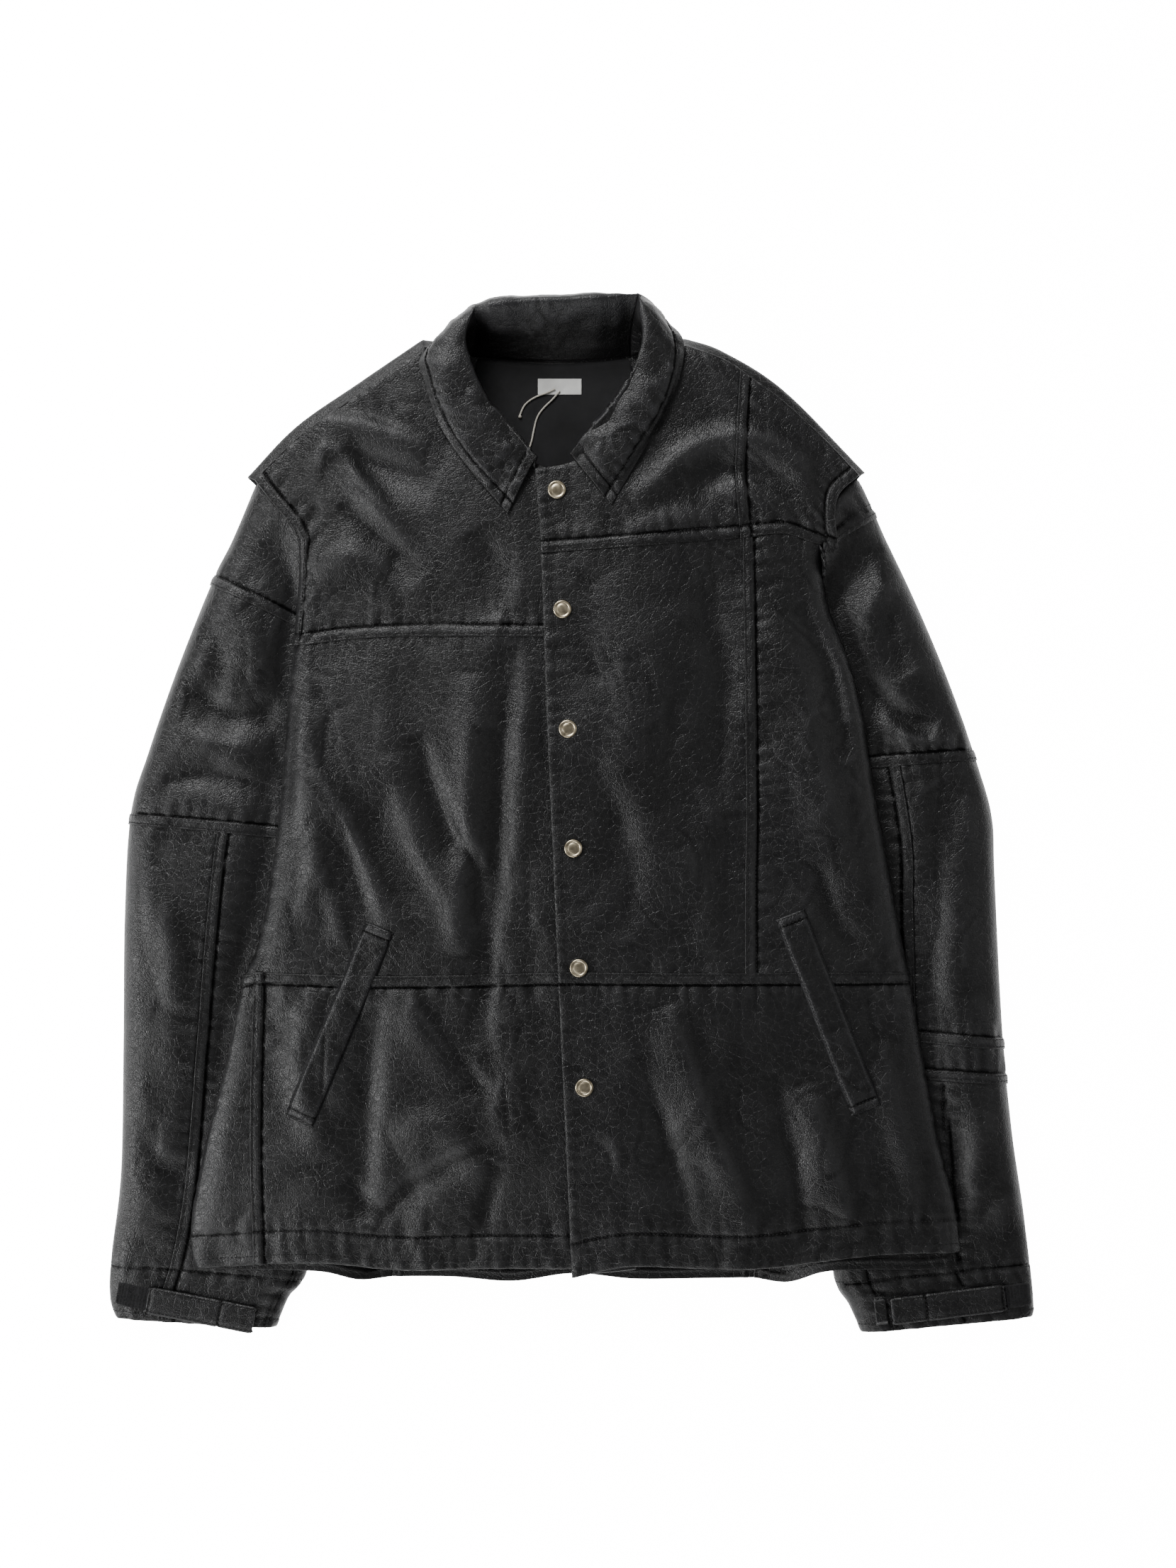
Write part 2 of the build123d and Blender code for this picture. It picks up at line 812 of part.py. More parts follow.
def shifted(stations, index, distance):
    """A station moved towards its neighbour, to leave half a seam gap."""
    near = stations[index]
    far = stations[index + (1 if distance > 0 else -1)]
    moved = []
    for a, b in zip(near, far):
        step = Vector(b[0] - a[0], b[1] - a[1]).normalized() * abs(distance)
        moved.append((a[0] + step.X, a[1] + step.Y))
    return tuple(moved)


def sleeve_panel(stations, first, last, start=0.0, stop=1.0):
    """Top sheet of a sleeve between two cross seams."""
    used = [shifted(stations, first, seam_gap / 2), *stations[first + 1:last], shifted(stations, last, -seam_gap / 2)]
    with BuildPart() as panel:
        loft([sleeve_section(station, start, stop) for station in used], ruled=True)
    return panel


def under_sleeve(stations):
    """Bottom sheet of a sleeve, flat on the surface."""
    outer = [station[0] for station in stations]
    inner = [station[1] for station in stations]
    return slab([*outer, *reversed(inner)], 0, leather - 0.05)


right_stations = sleeve_stations(right_tip, right_sleeve_seams, -1)
left_stations = sleeve_stations(left_tip, left_sleeve_seams, 1)
right_forearm_seam = 0.55
left_forearm_seam = 0.44
finish(sleeve_panel(right_stations, 0, 1), "right_sleeve_cap")
finish(sleeve_panel(right_stations, 1, 2), "right_upper_sleeve")
finish(sleeve_panel(right_stations, 2, 4, 0, right_forearm_seam), "right_forearm_outer")
finish(sleeve_panel(right_stations, 2, 4, right_forearm_seam, 1), "right_forearm_inner")
finish(under_sleeve(right_stations), "right_under_sleeve")
finish(sleeve_panel(left_stations, 0, 1), "left_sleeve_cap")
finish(sleeve_panel(left_stations, 1, 2), "left_upper_sleeve")
finish(sleeve_panel(left_stations, 2, 3, 0, left_forearm_seam), "left_forearm_outer")
finish(sleeve_panel(left_stations, 2, 3, left_forearm_seam, 1), "left_forearm_inner")
finish(sleeve_panel(left_stations, 3, 4), "left_forearm_band")
finish(sleeve_panel(left_stations, 4, 6), "left_lower_sleeve")
finish(under_sleeve(left_stations), "left_under_sleeve")

# ---------------------------------------------------------------- cuff tabs with hook and loop
# On each cuff the loop patch lies at the outer edge and the tab reaches it from the inner edge.
def cuff_pieces(stations, side, root_inset, tab_length, turn, above_cuff):
    """Loop patch, hook patch and tab on one cuff. Returns the three pieces and the tab's hinge point."""
    outer, inner = stations[-1]
    root = (inner[0] + side * root_inset, inner[1] + above_cuff)
    along = Vector(side * cos(radians(turn)), sin(radians(turn)))
    loop_z = sleeve_crown + 0.05
    hook_z = loop_z + patch_thickness + ply_gap
    tab_z = hook_z + patch_thickness

    def strip(begin, length, width, bottom, thickness, rounded):
        centre = (root[0] + along.X * (begin + length / 2), root[1] + along.Y * (begin + length / 2))
        with BuildPart() as piece:
            with BuildSketch(Plane.XY.offset(bottom)):
                with Locations(Location((centre[0], centre[1], 0), (0, 0, side * turn))):
                    if rounded:
                        RectangleRounded(length, width, width / 5)
                    else:
                        Rectangle(length, width)
            extrude(amount=thickness)
        return piece

    loop_start = tab_length - 38
    reach = abs(outer[0] - root[0]) - sleeve_roll - loop_start
    loop = strip(loop_start, reach, tab_width - 3, loop_z, patch_thickness, False)
    hook = strip(tab_length - 34, 30, tab_width - 5, hook_z, patch_thickness, False)
    tab = strip(0, tab_length, tab_width, tab_z, tab_thickness, True)
    return loop, hook, tab, (root[0], root[1], tab_z)


right_loop, right_hook, right_tab, right_hinge = cuff_pieces(right_stations, -1, 22.0, 92.0, 11.0, 14.0)
left_loop, left_hook, left_tab, left_hinge = cuff_pieces(left_stations, 1, 34.0, 96.0, 7.0, 22.0)
finish(right_loop, "right_loop_patch")
finish(right_hook, "right_hook_patch")
finish(right_tab, "right_cuff_tab")
finish(left_loop, "left_loop_patch")
finish(left_hook, "left_hook_patch")
finish(left_tab, "left_cuff_tab")

# ---------------------------------------------------------------- neck label, its string and the hang tag
label_z = lining_z + lining + 0.05
with BuildPart() as label:
    with Locations((label_place[0], label_place[1], label_z + label_size[2] / 2)):
        Box(*label_size)
finish(label, "neck_label")

string_z = label_z + label_size[2] + string_diameter / 2 + 0.05


def string_tube(route, radii):
    """A thin cord: straight runs joined by tangent arcs."""
    with BuildPart() as tube:
        with BuildLine() as path:
            FilletPolyline(*route, radius=radii)
        with BuildSketch(Plane(origin=path.line @ 0, z_dir=path.line % 0)):
            Circle(string_diameter / 2)
        sweep()
    return tube


def bend_radii(route):
    """For each corner, 0.45 of its shorter run over the tangent of half the turn."""
    radii = []
    for before, corner, after in zip(route, route[1:], route[2:]):
        run_in = Vector(*corner) - Vector(*before)
        run_out = Vector(*after) - Vector(*corner)
        turn = radians(run_in.get_angle(run_out))
        radii.append(0.45 * min(run_in.length, run_out.length) * cos(turn / 2) / sin(turn / 2))
    return radii


rest_z = label_z + string_diameter / 2
tag_string_route = [
    (-11, 356.5, string_z), (-16, 350, string_z), (-24, 343, rest_z), (-30, 335, rest_z), (-32.5, 324, rest_z),
    (-35, 311, rest_z), (-41, 300, rest_z), (-42, 288, rest_z),
]
string_end_route = [
    (-15, 358, string_z), (-21.5, 354.5, string_z), (-29, 352.5, rest_z + 0.2), (-37, 348, rest_z),
    (-42, 342.5, rest_z), (-44, 336, rest_z),
]
for name, route in (("tag_string", tag_string_route), ("string_tail", string_end_route)):
    radii = bend_radii(route)
    print(name, "bend radii", [round(r, 1) for r in radii])
    finish(string_tube(route, radii), name)

with BuildPart() as hang_tag:
    last = tag_string_route[-1]
    with Locations((last[0] - 3, last[1] - 0.1 - tag_size[1] / 2, label_z + tag_size[2] / 2)):
        Box(*tag_size)
finish(hang_tag, "hang_tag")

print("fold axes, right then left", (right_fold_x, fold_axis_z[0]), (left_fold_x, fold_axis_z[1]))
print("tab hinges", right_hinge, left_hinge)
print("sleeve pivots", right_tip, left_tip)
print("right sleeve seams", [[round(v, 1) for v in a + b] for a, b in right_stations])
print("left sleeve seams", [[round(v, 1) for v in a + b] for a, b in left_stations])
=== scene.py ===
# %% [markdown]
# # A black leather jacket, laid flat on its back
# The CAD frame holds every piece's size and place, and how it moves. This script gives each piece its
# looks: crumpled leather panels with sewn edges, linings, a rolled collar, metal snaps and a hang tag's
# string. Shapes are worked out in millimetres and turned into metres where a mesh is made.

# %% load the frame
import json
from math import cos, pi, radians, sin

import bmesh
import bpy
import numpy as np
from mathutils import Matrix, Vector


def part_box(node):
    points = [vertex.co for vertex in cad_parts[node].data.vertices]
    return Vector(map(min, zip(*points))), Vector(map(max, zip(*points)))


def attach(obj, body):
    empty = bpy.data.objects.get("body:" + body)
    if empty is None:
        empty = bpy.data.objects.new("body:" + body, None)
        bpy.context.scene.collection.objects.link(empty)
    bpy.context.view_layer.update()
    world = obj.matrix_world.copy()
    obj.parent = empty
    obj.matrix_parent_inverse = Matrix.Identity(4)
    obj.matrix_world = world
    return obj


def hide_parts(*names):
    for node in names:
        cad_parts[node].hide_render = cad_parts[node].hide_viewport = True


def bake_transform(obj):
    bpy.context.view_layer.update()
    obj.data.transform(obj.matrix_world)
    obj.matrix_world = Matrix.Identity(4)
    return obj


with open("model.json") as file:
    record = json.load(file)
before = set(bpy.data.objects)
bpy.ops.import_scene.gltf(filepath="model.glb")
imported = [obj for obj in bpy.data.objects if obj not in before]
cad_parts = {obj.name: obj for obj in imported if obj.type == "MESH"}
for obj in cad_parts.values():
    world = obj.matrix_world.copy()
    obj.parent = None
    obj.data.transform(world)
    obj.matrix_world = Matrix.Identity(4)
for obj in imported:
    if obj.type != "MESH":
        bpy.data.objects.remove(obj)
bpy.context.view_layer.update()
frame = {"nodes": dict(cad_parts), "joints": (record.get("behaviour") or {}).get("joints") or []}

MM = 0.001


def box(name):
    """Lowest and highest corner of a CAD node, in millimetres."""
    low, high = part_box(name)
    return np.array(low) / MM, np.array(high) / MM


JOINTS = {joint["name"]: joint for joint in frame["joints"]}

# %% [markdown]
# ## Camera, floor and light
# The jacket is looked at from straight above, as a garment on a cutting table is. The camera hangs
# 2.2 m over it. A soft box beyond the collar gives the leather its broad grey sheen, and one at the
# right sleeve's side draws the folds. Two weaker ones fill the left side and the skirts.

# %% camera
camera_data = bpy.data.cameras.new("camera")
camera_data.lens = 61.7
camera_data.clip_end = 20
camera = bpy.data.objects.new("camera", camera_data)
camera.location = (0.0125, 0.030, 2.235)
bpy.context.collection.objects.link(camera)
bpy.context.scene.camera = camera

# %% floor
floor_mesh = bpy.data.meshes.new("floor")
floor_mesh.from_pydata([(-4, -4, 0), (4, -4, 0), (4, 4, 0), (-4, 4, 0)], [], [(0, 1, 2, 3)])
floor = bpy.data.objects.new("floor", floor_mesh)
bpy.context.collection.objects.link(floor)


# %% lights
def soft_box(name, place, aim, size, power):
    """A square area light at place, turned towards aim."""
    data = bpy.data.lights.new(name, "AREA")
    data.size = size
    data.energy = power
    light = bpy.data.objects.new(name, data)
    light.location = place
    way = np.array(aim, float) - np.array(place, float)
    light.rotation_mode = "QUATERNION"
    light.rotation_quaternion = Vector(way).to_track_quat("-Z", "Y")
    bpy.context.collection.objects.link(light)
    return light


soft_box("window", (-0.8, 1.75, 1.6), (0, 0, 0), 1.0, 56)
soft_box("side_fill", (-2.1, -0.6, 1.4), (0, -0.1, 0), 1.0, 46)
soft_box("far_fill", (2.0, 0.3, 1.6), (0, 0, 0), 1.4, 6)
soft_box("low_fill", (-0.4, -2.1, 1.2), (0, -0.25, 0), 1.3, 22)
world = bpy.data.worlds.new("studio")
world.use_nodes = True
sky = world.node_tree.nodes["Background"]
sky.inputs["Color"].default_value = (1, 1, 1, 1)
sky.inputs["Strength"].default_value = 0.17
bpy.context.scene.world = world

# %% [markdown]
# ## The hang tag's string
# A limp cotton string runs from the neck label down inside the jacket to a blank card tag, and its knotted tail lies
# beside it. Both are smooth NURBS curves through the same points as the CAD tubes.


# %% strings
STRING = 1.5


def string(name, points):
    """A thin round cord along points given in millimetres."""
    data = bpy.data.curves.new(name, "CURVE")
    data.dimensions = "3D"
    spline = data.splines.new("NURBS")
    spline.points.add(len(points) - 1)
    for point, place in zip(spline.points, points):
        point.co = (*[v * MM for v in place], 1)
        point.radius = MM
    spline.order_u = 3
    spline.use_endpoint_u = True
    spline.resolution_u = 12
    data.bevel_depth = STRING / 2
    data.bevel_resolution = 3
    data.use_fill_caps = True
    cord = bpy.data.objects.new(name, data)
    bpy.context.collection.objects.link(cord)
    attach(cord, "jacket_body")
    return cord


LABEL_LOW, LABEL_HIGH = box("neck_label")
STRING_Z = LABEL_HIGH[2] + 0.8
REST_Z = LABEL_LOW[2] + 0.75
tag_string = string(
    "tag_string_cord",
    [(-11, 356.5, STRING_Z), (-16, 350, STRING_Z), (-24, 343, REST_Z), (-30, 335, REST_Z),
     (-32.5, 324, REST_Z), (-35, 311, REST_Z), (-41, 300, REST_Z), (-42, 288, REST_Z)],
)
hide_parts("tag_string")
string_tail = string(
    "string_tail_cord",
    [(-15, 358, STRING_Z), (-21.5, 354.5, STRING_Z), (-29, 352.5, REST_Z + 0.2), (-37, 348, REST_Z),
     (-42, 342.5, REST_Z), (-44, 336, REST_Z)],
)
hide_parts("string_tail")

# %% [markdown]
# ## Curves, noise and folds
# Leather keeps the marks of how it was worn: long folds where it bends, short sharp creases between
# them, and puckers that the thread draws up along every seam. Each of these is a height added to a
# smooth base, worked out for a whole grid at once.


# %% curves
def curve(points, t):
    """Catmull-Rom curve through points, equal time between points: for each share t from 0 to 1, the
    cubic through the four nearest points. Points may carry extra axes, as the rows of a net do."""
    p = np.asarray(points, float)
    p = np.concatenate([2 * p[:1] - p[1:2], p, 2 * p[-1:] - p[-2:-1]])
    spans = len(p) - 3
    at = np.clip(np.asarray(t, float), 0, 1) * spans
    i = np.minimum(at.astype(int), spans - 1)
    f = (at - i).reshape(-1, *([1] * (p.ndim - 1)))
    a, b, c, d = p[i], p[i + 1], p[i + 2], p[i + 3]
    return 0.5 * (2 * b + (c - a) * f + (2 * a - 5 * b + 4 * c - d) * f**2 + (3 * b - a - 3 * c + d) * f**3)


def walk(points, t):
    """Point at share t of the length of a smooth curve. A list of lists is several smooth stretches
    that meet at corners."""
    stretches = points if isinstance(points[0], list) else [points]
    dense = np.concatenate([curve(s, np.linspace(0, 1, 30 * len(s))) for s in stretches])
    run = np.concatenate([[0], np.cumsum(np.linalg.norm(np.diff(dense, axis=0), axis=1))])
    at = np.asarray(t, float) * run[-1]
    return np.stack([np.interp(at, run, dense[:, k]) for k in range(dense.shape[1])], -1)


def step(t):
    """0 below 0, 1 above 1, and 3 t^2 - 2 t^3 between."""
    t = np.clip(t, 0, 1)
    return t * t * (3 - 2 * t)


def bell(d, width):
    """exp(-(d / width)^2)"""
    return np.exp(-((d / width) ** 2))


def rounded(d, radius):
    """A quarter of an ellipse: 0 at distance d = 0 from an edge, and 1 from the radius on."""
    return np.sqrt(np.clip(1 - np.clip(1 - d / radius, 0, 1) ** 2, 0, 1))


def cells(rows, cols):
    """Shares from 0 to 1 down and across a grid of so many rows and columns."""
    return np.meshgrid(np.linspace(0, 1, rows), np.linspace(0, 1, cols), indexing="ij")


# %% noise
def noise(x, y, seed):
    """Gradient noise in about -1 to 1: each lattice point has a random slope, and the four slopes round
    a point are joined by fifth-order steps."""
    i, j = np.floor(x).astype(np.int64), np.floor(y).astype(np.int64)
    fx, fy = x - i, y - j

    def corner(di, dj):
        h = ((i + di) * 374761393 + (j + dj) * 668265263 + seed * 974711) & 0xFFFFFFFF
        h = ((h ^ (h >> 13)) * 1274126177) & 0xFFFFFFFF
        angle = (h ^ (h >> 16)) * (2 * pi / 2**32)
        return np.cos(angle) * (fx - di) + np.sin(angle) * (fy - dj)

    u, v = (f**3 * (f * (f * 6 - 15) + 10) for f in (fx, fy))
    low = corner(0, 0) * (1 - u) + corner(1, 0) * u
    high = corner(0, 1) * (1 - u) + corner(1, 1) * u
    return 1.5 * (low * (1 - v) + high * v)


# %% folds and crumple
def fold(x, y, points, height, near, far):
    """Height of one fold: height * exp(-(d / w)^2), where d is the distance to the curve through points
    and w is near on the left of the way along it and far on the right. It fades at both ends."""
    path = walk(points, np.linspace(0, 1, 16))
    best, share, left = np.full(x.shape, 1e9), np.zeros(x.shape), np.zeros(x.shape, bool)
    for k in range(len(path) - 1):
        a, way = path[k], path[k + 1] - path[k]
        t = np.clip(((x - a[0]) * way[0] + (y - a[1]) * way[1]) / (way @ way), 0, 1)
        dx, dy = x - a[0] - t * way[0], y - a[1] - t * way[1]
        gap = dx * dx + dy * dy
        closer = gap < best
        best = np.where(closer, gap, best)
        share = np.where(closer, (k + t) / (len(path) - 1), share)
        left = np.where(closer, way[0] * dy - way[1] * dx > 0, left)
    width = np.where(left, near, far)
    return height * np.sin(pi * share) ** 0.6 * np.exp(-best / width**2)


def crumple(x, y, seed, stretch=1.0):
    """Soft leather at rest: two sizes of broad waves over a warped grid, and in the places that are not
    calm a few long creases, where folded noise crosses zero, with small waves between them. Stretch
    draws it all out along y."""
    y = y / stretch
    wx = x + 18 * noise(x / 60, y / 60, seed + 1)
    wy = y + 18 * noise(x / 60, y / 60, seed + 2)
    busy = step(0.35 + 1.5 * noise(x / 85, y / 85, seed + 3))
    broad = 3.4 * noise(wx / 92, wy / 92, seed + 4) + 1.8 * noise(wx / 44, wy / 44, seed + 5)

    def crease(size, power, k):
        return np.clip(1 - 2.4 * np.abs(noise(wx / size, wy / size, seed + k)), 0, 1) ** power

    sharp = 0.75 * crease(64, 3.0, 6) - 0.8 * crease(50, 5.0, 7)
    small = 0.6 * noise(wx / 19, wy / 25, seed + 8) + 0.2 * noise(wx / 8, wy / 10, seed + 9)
    return broad + busy * (sharp + small) + 0.05 * noise(x / 5, y / 5, seed + 10)


def puckers(along, away, seed, reach=13.0, size=1.0, pitch=9.0):
    """Seam puckers: noise along the seam, dying away with distance from it over reach."""
    wave = noise(along / pitch, away / 34.0, seed) + 0.5 * noise(along / (pitch * 0.5), away / 20.0, seed + 1)
    return size * wave * np.exp(-np.abs(away) / reach)


# %% [markdown]
# ## Meshes from grids
# Every new piece starts as a grid of points. A soft sheet is two such grids a leather's thickness apart,
# closed round its rim, so it has a real edge. The stitches are small sunk capsules carried along rows
# of the same grid, in the same mesh, marked by an attribute that the material reads.


# %% grid helpers
def normals(p):
    """Unit normals of a grid: the cross product of its two directions' differences."""
    n = np.cross(np.gradient(p, axis=0), np.gradient(p, axis=1))
    return n / np.maximum(np.linalg.norm(n, axis=-1, keepdims=True), 1e-9)


def quads(rows, cols):
    """Corner numbers of a grid's faces, wound so that they face along normals()."""
    k = np.arange(rows * cols).reshape(rows, cols)
    return np.stack([k[:-1, :-1], k[1:, :-1], k[1:, 1:], k[:-1, 1:]], -1).reshape(-1, 4)


def runs(p):
    """Distances in mm from a grid's four edges: top (first row), bottom, left (first column), right."""
    down = np.linalg.norm(np.diff(p, axis=0), axis=-1)
    down = np.concatenate([np.zeros((1, p.shape[1])), np.cumsum(down, 0)])
    over = np.linalg.norm(np.diff(p, axis=1), axis=-1)
    over = np.concatenate([np.zeros((p.shape[0], 1)), np.cumsum(over, 1)], 1)
    return {"top": down, "bottom": down[-1:] - down, "left": over, "right": over[:, -1:] - over}


def spread(length, pitch, fine=(True, True)):
    """Shares from 0 to 1 along a length in mm: about pitch apart, and close together by a sewn edge."""
    marks = np.array([0, 0.6, 1.5, 3.0, 4.6, 6.2, 7.4, 8.4, 10.0])
    middle = np.linspace(0, length, max(3, int(length / pitch)))
    first = marks if fine[0] and length > 40 else marks[:1]
    last = length - marks[::-1] if fine[1] and length > 40 else np.array([length])
    keep = middle[(middle > first[-1] + pitch * 0.4) & (middle < last[0] - pitch * 0.4)]
    return np.concatenate([first, keep, last]) / length


def patch(top, bottom, left, right, pitch=2.2, fine=(True, True, True, True)):
    """A grid inside four edges that meet at their ends: a Coons patch, which adds the blend of the two
    level edges to that of the two upright ones and takes away the blend of the corners."""
    edge = {k: walk(e, np.linspace(0, 1, 60)) for k, e in
            dict(top=top, bottom=bottom, left=left, right=right).items()}
    size = {k: np.linalg.norm(np.diff(e, axis=0), axis=1).sum() for k, e in edge.items()}
    u = spread((size["top"] + size["bottom"]) / 2, pitch, fine[2:])
    v = spread((size["left"] + size["right"]) / 2, pitch, fine[:2])
    t, b = walk(top, u)[None], walk(bottom, u)[None]
    l, r = walk(left, v)[:, None], walk(right, v)[:, None]
    u, v = u[None, :, None], v[:, None, None]
    corners = (1 - v) * ((1 - u) * t[:, :1] + u * t[:, -1:]) + v * ((1 - u) * b[:, :1] + u * b[:, -1:])
    return (1 - v) * t + v * b + (1 - u) * l + u * r - corners


def capsules(path, normal, pitch=3.3, length=2.5, radius=0.36):
    """Stitches along a path: at every pitch a six-sided spindle lies along the way and is sunk to half
    its depth. Returns points and faces."""
    run = np.concatenate([[0], np.cumsum(np.linalg.norm(np.diff(path, axis=0), axis=1))])
    at = np.arange(pitch, run[-1] - pitch * 0.5, pitch)
    if len(at) < 2:
        return np.zeros((0, 3)), np.zeros((0, 4), int)
    centre = np.stack([np.interp(at, run, path[:, k]) for k in range(3)], -1)
    up = np.stack([np.interp(at, run, normal[:, k]) for k in range(3)], -1)
    ahead = np.stack([np.interp(at + 0.5, run, path[:, k]) for k in range(3)], -1) - centre
    ahead /= np.maximum(np.linalg.norm(ahead, axis=1, keepdims=True), 1e-9)
    side = np.cross(up, ahead)
    turn = np.arange(6) * pi / 3
    rings = [(-0.5, 0.25), (-0.3, 0.95), (0.3, 0.95), (0.5, 0.25)]
    points = [
        centre[:, None] + ahead[:, None] * (s * length) + side[:, None] * (np.cos(turn) * r * radius)[None, :, None]
        + up[:, None] * ((np.sin(turn) * r * radius)[None, :, None] + 0.08)
        for s, r in rings
    ]
    points = np.stack(points, 1).reshape(-1, 3)
    k = np.arange(24).reshape(4, 6)
    face = np.stack([k[:-1], np.roll(k, -1, 1)[:-1], np.roll(k, -1, 1)[1:], k[1:]], -1).reshape(-1, 4)
    ends = np.array([[0, 3, 2, 1], [0, 5, 4, 3], [18, 19, 20, 21], [18, 21, 22, 23]])
    face = np.concatenate([face, ends])
    return points, (face[None] + 24 * np.arange(len(at))[:, None, None]).reshape(-1, 4)


def make(name, parts, material, thread=(), ridge=None):
    """A mesh object from (points, faces) parts in mm. thread gives, for each part, whether it is thread, and ridge the
    first part's fold mark: wear and a painted sheen on fold tops above 0, painted shade in creases and seam grooves
    below 0."""
    count = np.cumsum([0] + [len(p) for p, _ in parts])
    points = np.concatenate([p for p, _ in parts]) * MM
    faces = np.concatenate([f + c for (_, f), c in zip(parts, count)])
    mesh = bpy.data.meshes.new(name)
    mesh.vertices.add(len(points))
    mesh.vertices.foreach_set("co", points.astype(np.float32).ravel())
    mesh.loops.add(faces.size)
    mesh.loops.foreach_set("vertex_index", faces.astype(np.int32).ravel())
    mesh.polygons.add(len(faces))
    mesh.polygons.foreach_set("loop_start", np.arange(0, faces.size, 4, dtype=np.int32))
    mesh.update(calc_edges=True)
    mesh.shade_smooth()
    mark = np.zeros(len(points), np.float32)
    for (a, b), sewn in zip(zip(count[:-1], count[1:]), list(thread) + [0] * len(parts)):
        mark[a:b] = sewn
    mesh.attributes.new("thread", "FLOAT", "POINT").data.foreach_set("value", mark)
    # The ridge attribute: wear and a painted sheen above 0, painted shade below 0.
    wear_and_painted_light = np.zeros(len(points), np.float32)
    if ridge is not None:
        wear_and_painted_light[:ridge.size] = ridge.ravel()
    mesh.attributes.new("ridge", "FLOAT", "POINT").data.foreach_set("value", wear_and_painted_light)
    mesh.validate()
    piece = bpy.data.objects.new(name, mesh)
    bpy.context.collection.objects.link(piece)
    mesh.materials.append(material)
    print(f"{name}: {len(faces)} faces")
    return piece


def closed(p, thickness):
    """A grid made a closed sheet: the grid, a copy thickness below it, and a rim between them whose
    middle stands out a little, as a turned leather edge does."""
    rows, cols = p.shape[:2]
    n = normals(p)
    under = p - n * thickness
    loop = np.concatenate([
        np.arange(cols), np.arange(1, rows) * cols + cols - 1,
        (rows - 1) * cols + np.arange(cols - 2, -1, -1), np.arange(rows - 2, 0, -1) * cols,
    ])
    flat, low = p.reshape(-1, 3), under.reshape(-1, 3)
    inner = np.clip(np.stack(np.unravel_index(loop, (rows, cols))), 1, np.array([[rows - 2], [cols - 2]]))
    out = flat[loop] - p[inner[0], inner[1]]
    out /= np.maximum(np.linalg.norm(out, axis=1, keepdims=True), 1e-9)
    middle = (flat[loop] + low[loop]) / 2 + out * thickness * 0.35
    points = np.concatenate([flat, low, middle])
    total = rows * cols
    top = quads(rows, cols)
    bottom = top[:, ::-1] + total
    k = np.arange(len(loop))
    nxt = np.roll(k, -1)
    upper = np.stack([loop, loop[nxt], 2 * total + nxt, 2 * total + k], -1)
    lower = np.stack([2 * total + k, 2 * total + nxt, total + loop[nxt], total + loop], -1)
    return points, np.concatenate([top, bottom, upper, lower])


# %% [markdown]
# ## Sewn panels
# The jacket's panels are lapped: an edge that lies on top is turned under, so a band about 8 mm wide stands up a little
# between two rows of stitching. An edge that lies beneath is a millimetre lower. A free edge, as at the hem, has one
# row of stitching. A second attribute marks fold tops above 0, which the material paints paler as wear and a painted
# sheen, and below 0 the creases and the grooves beside seams, which it paints dark as painted shade.


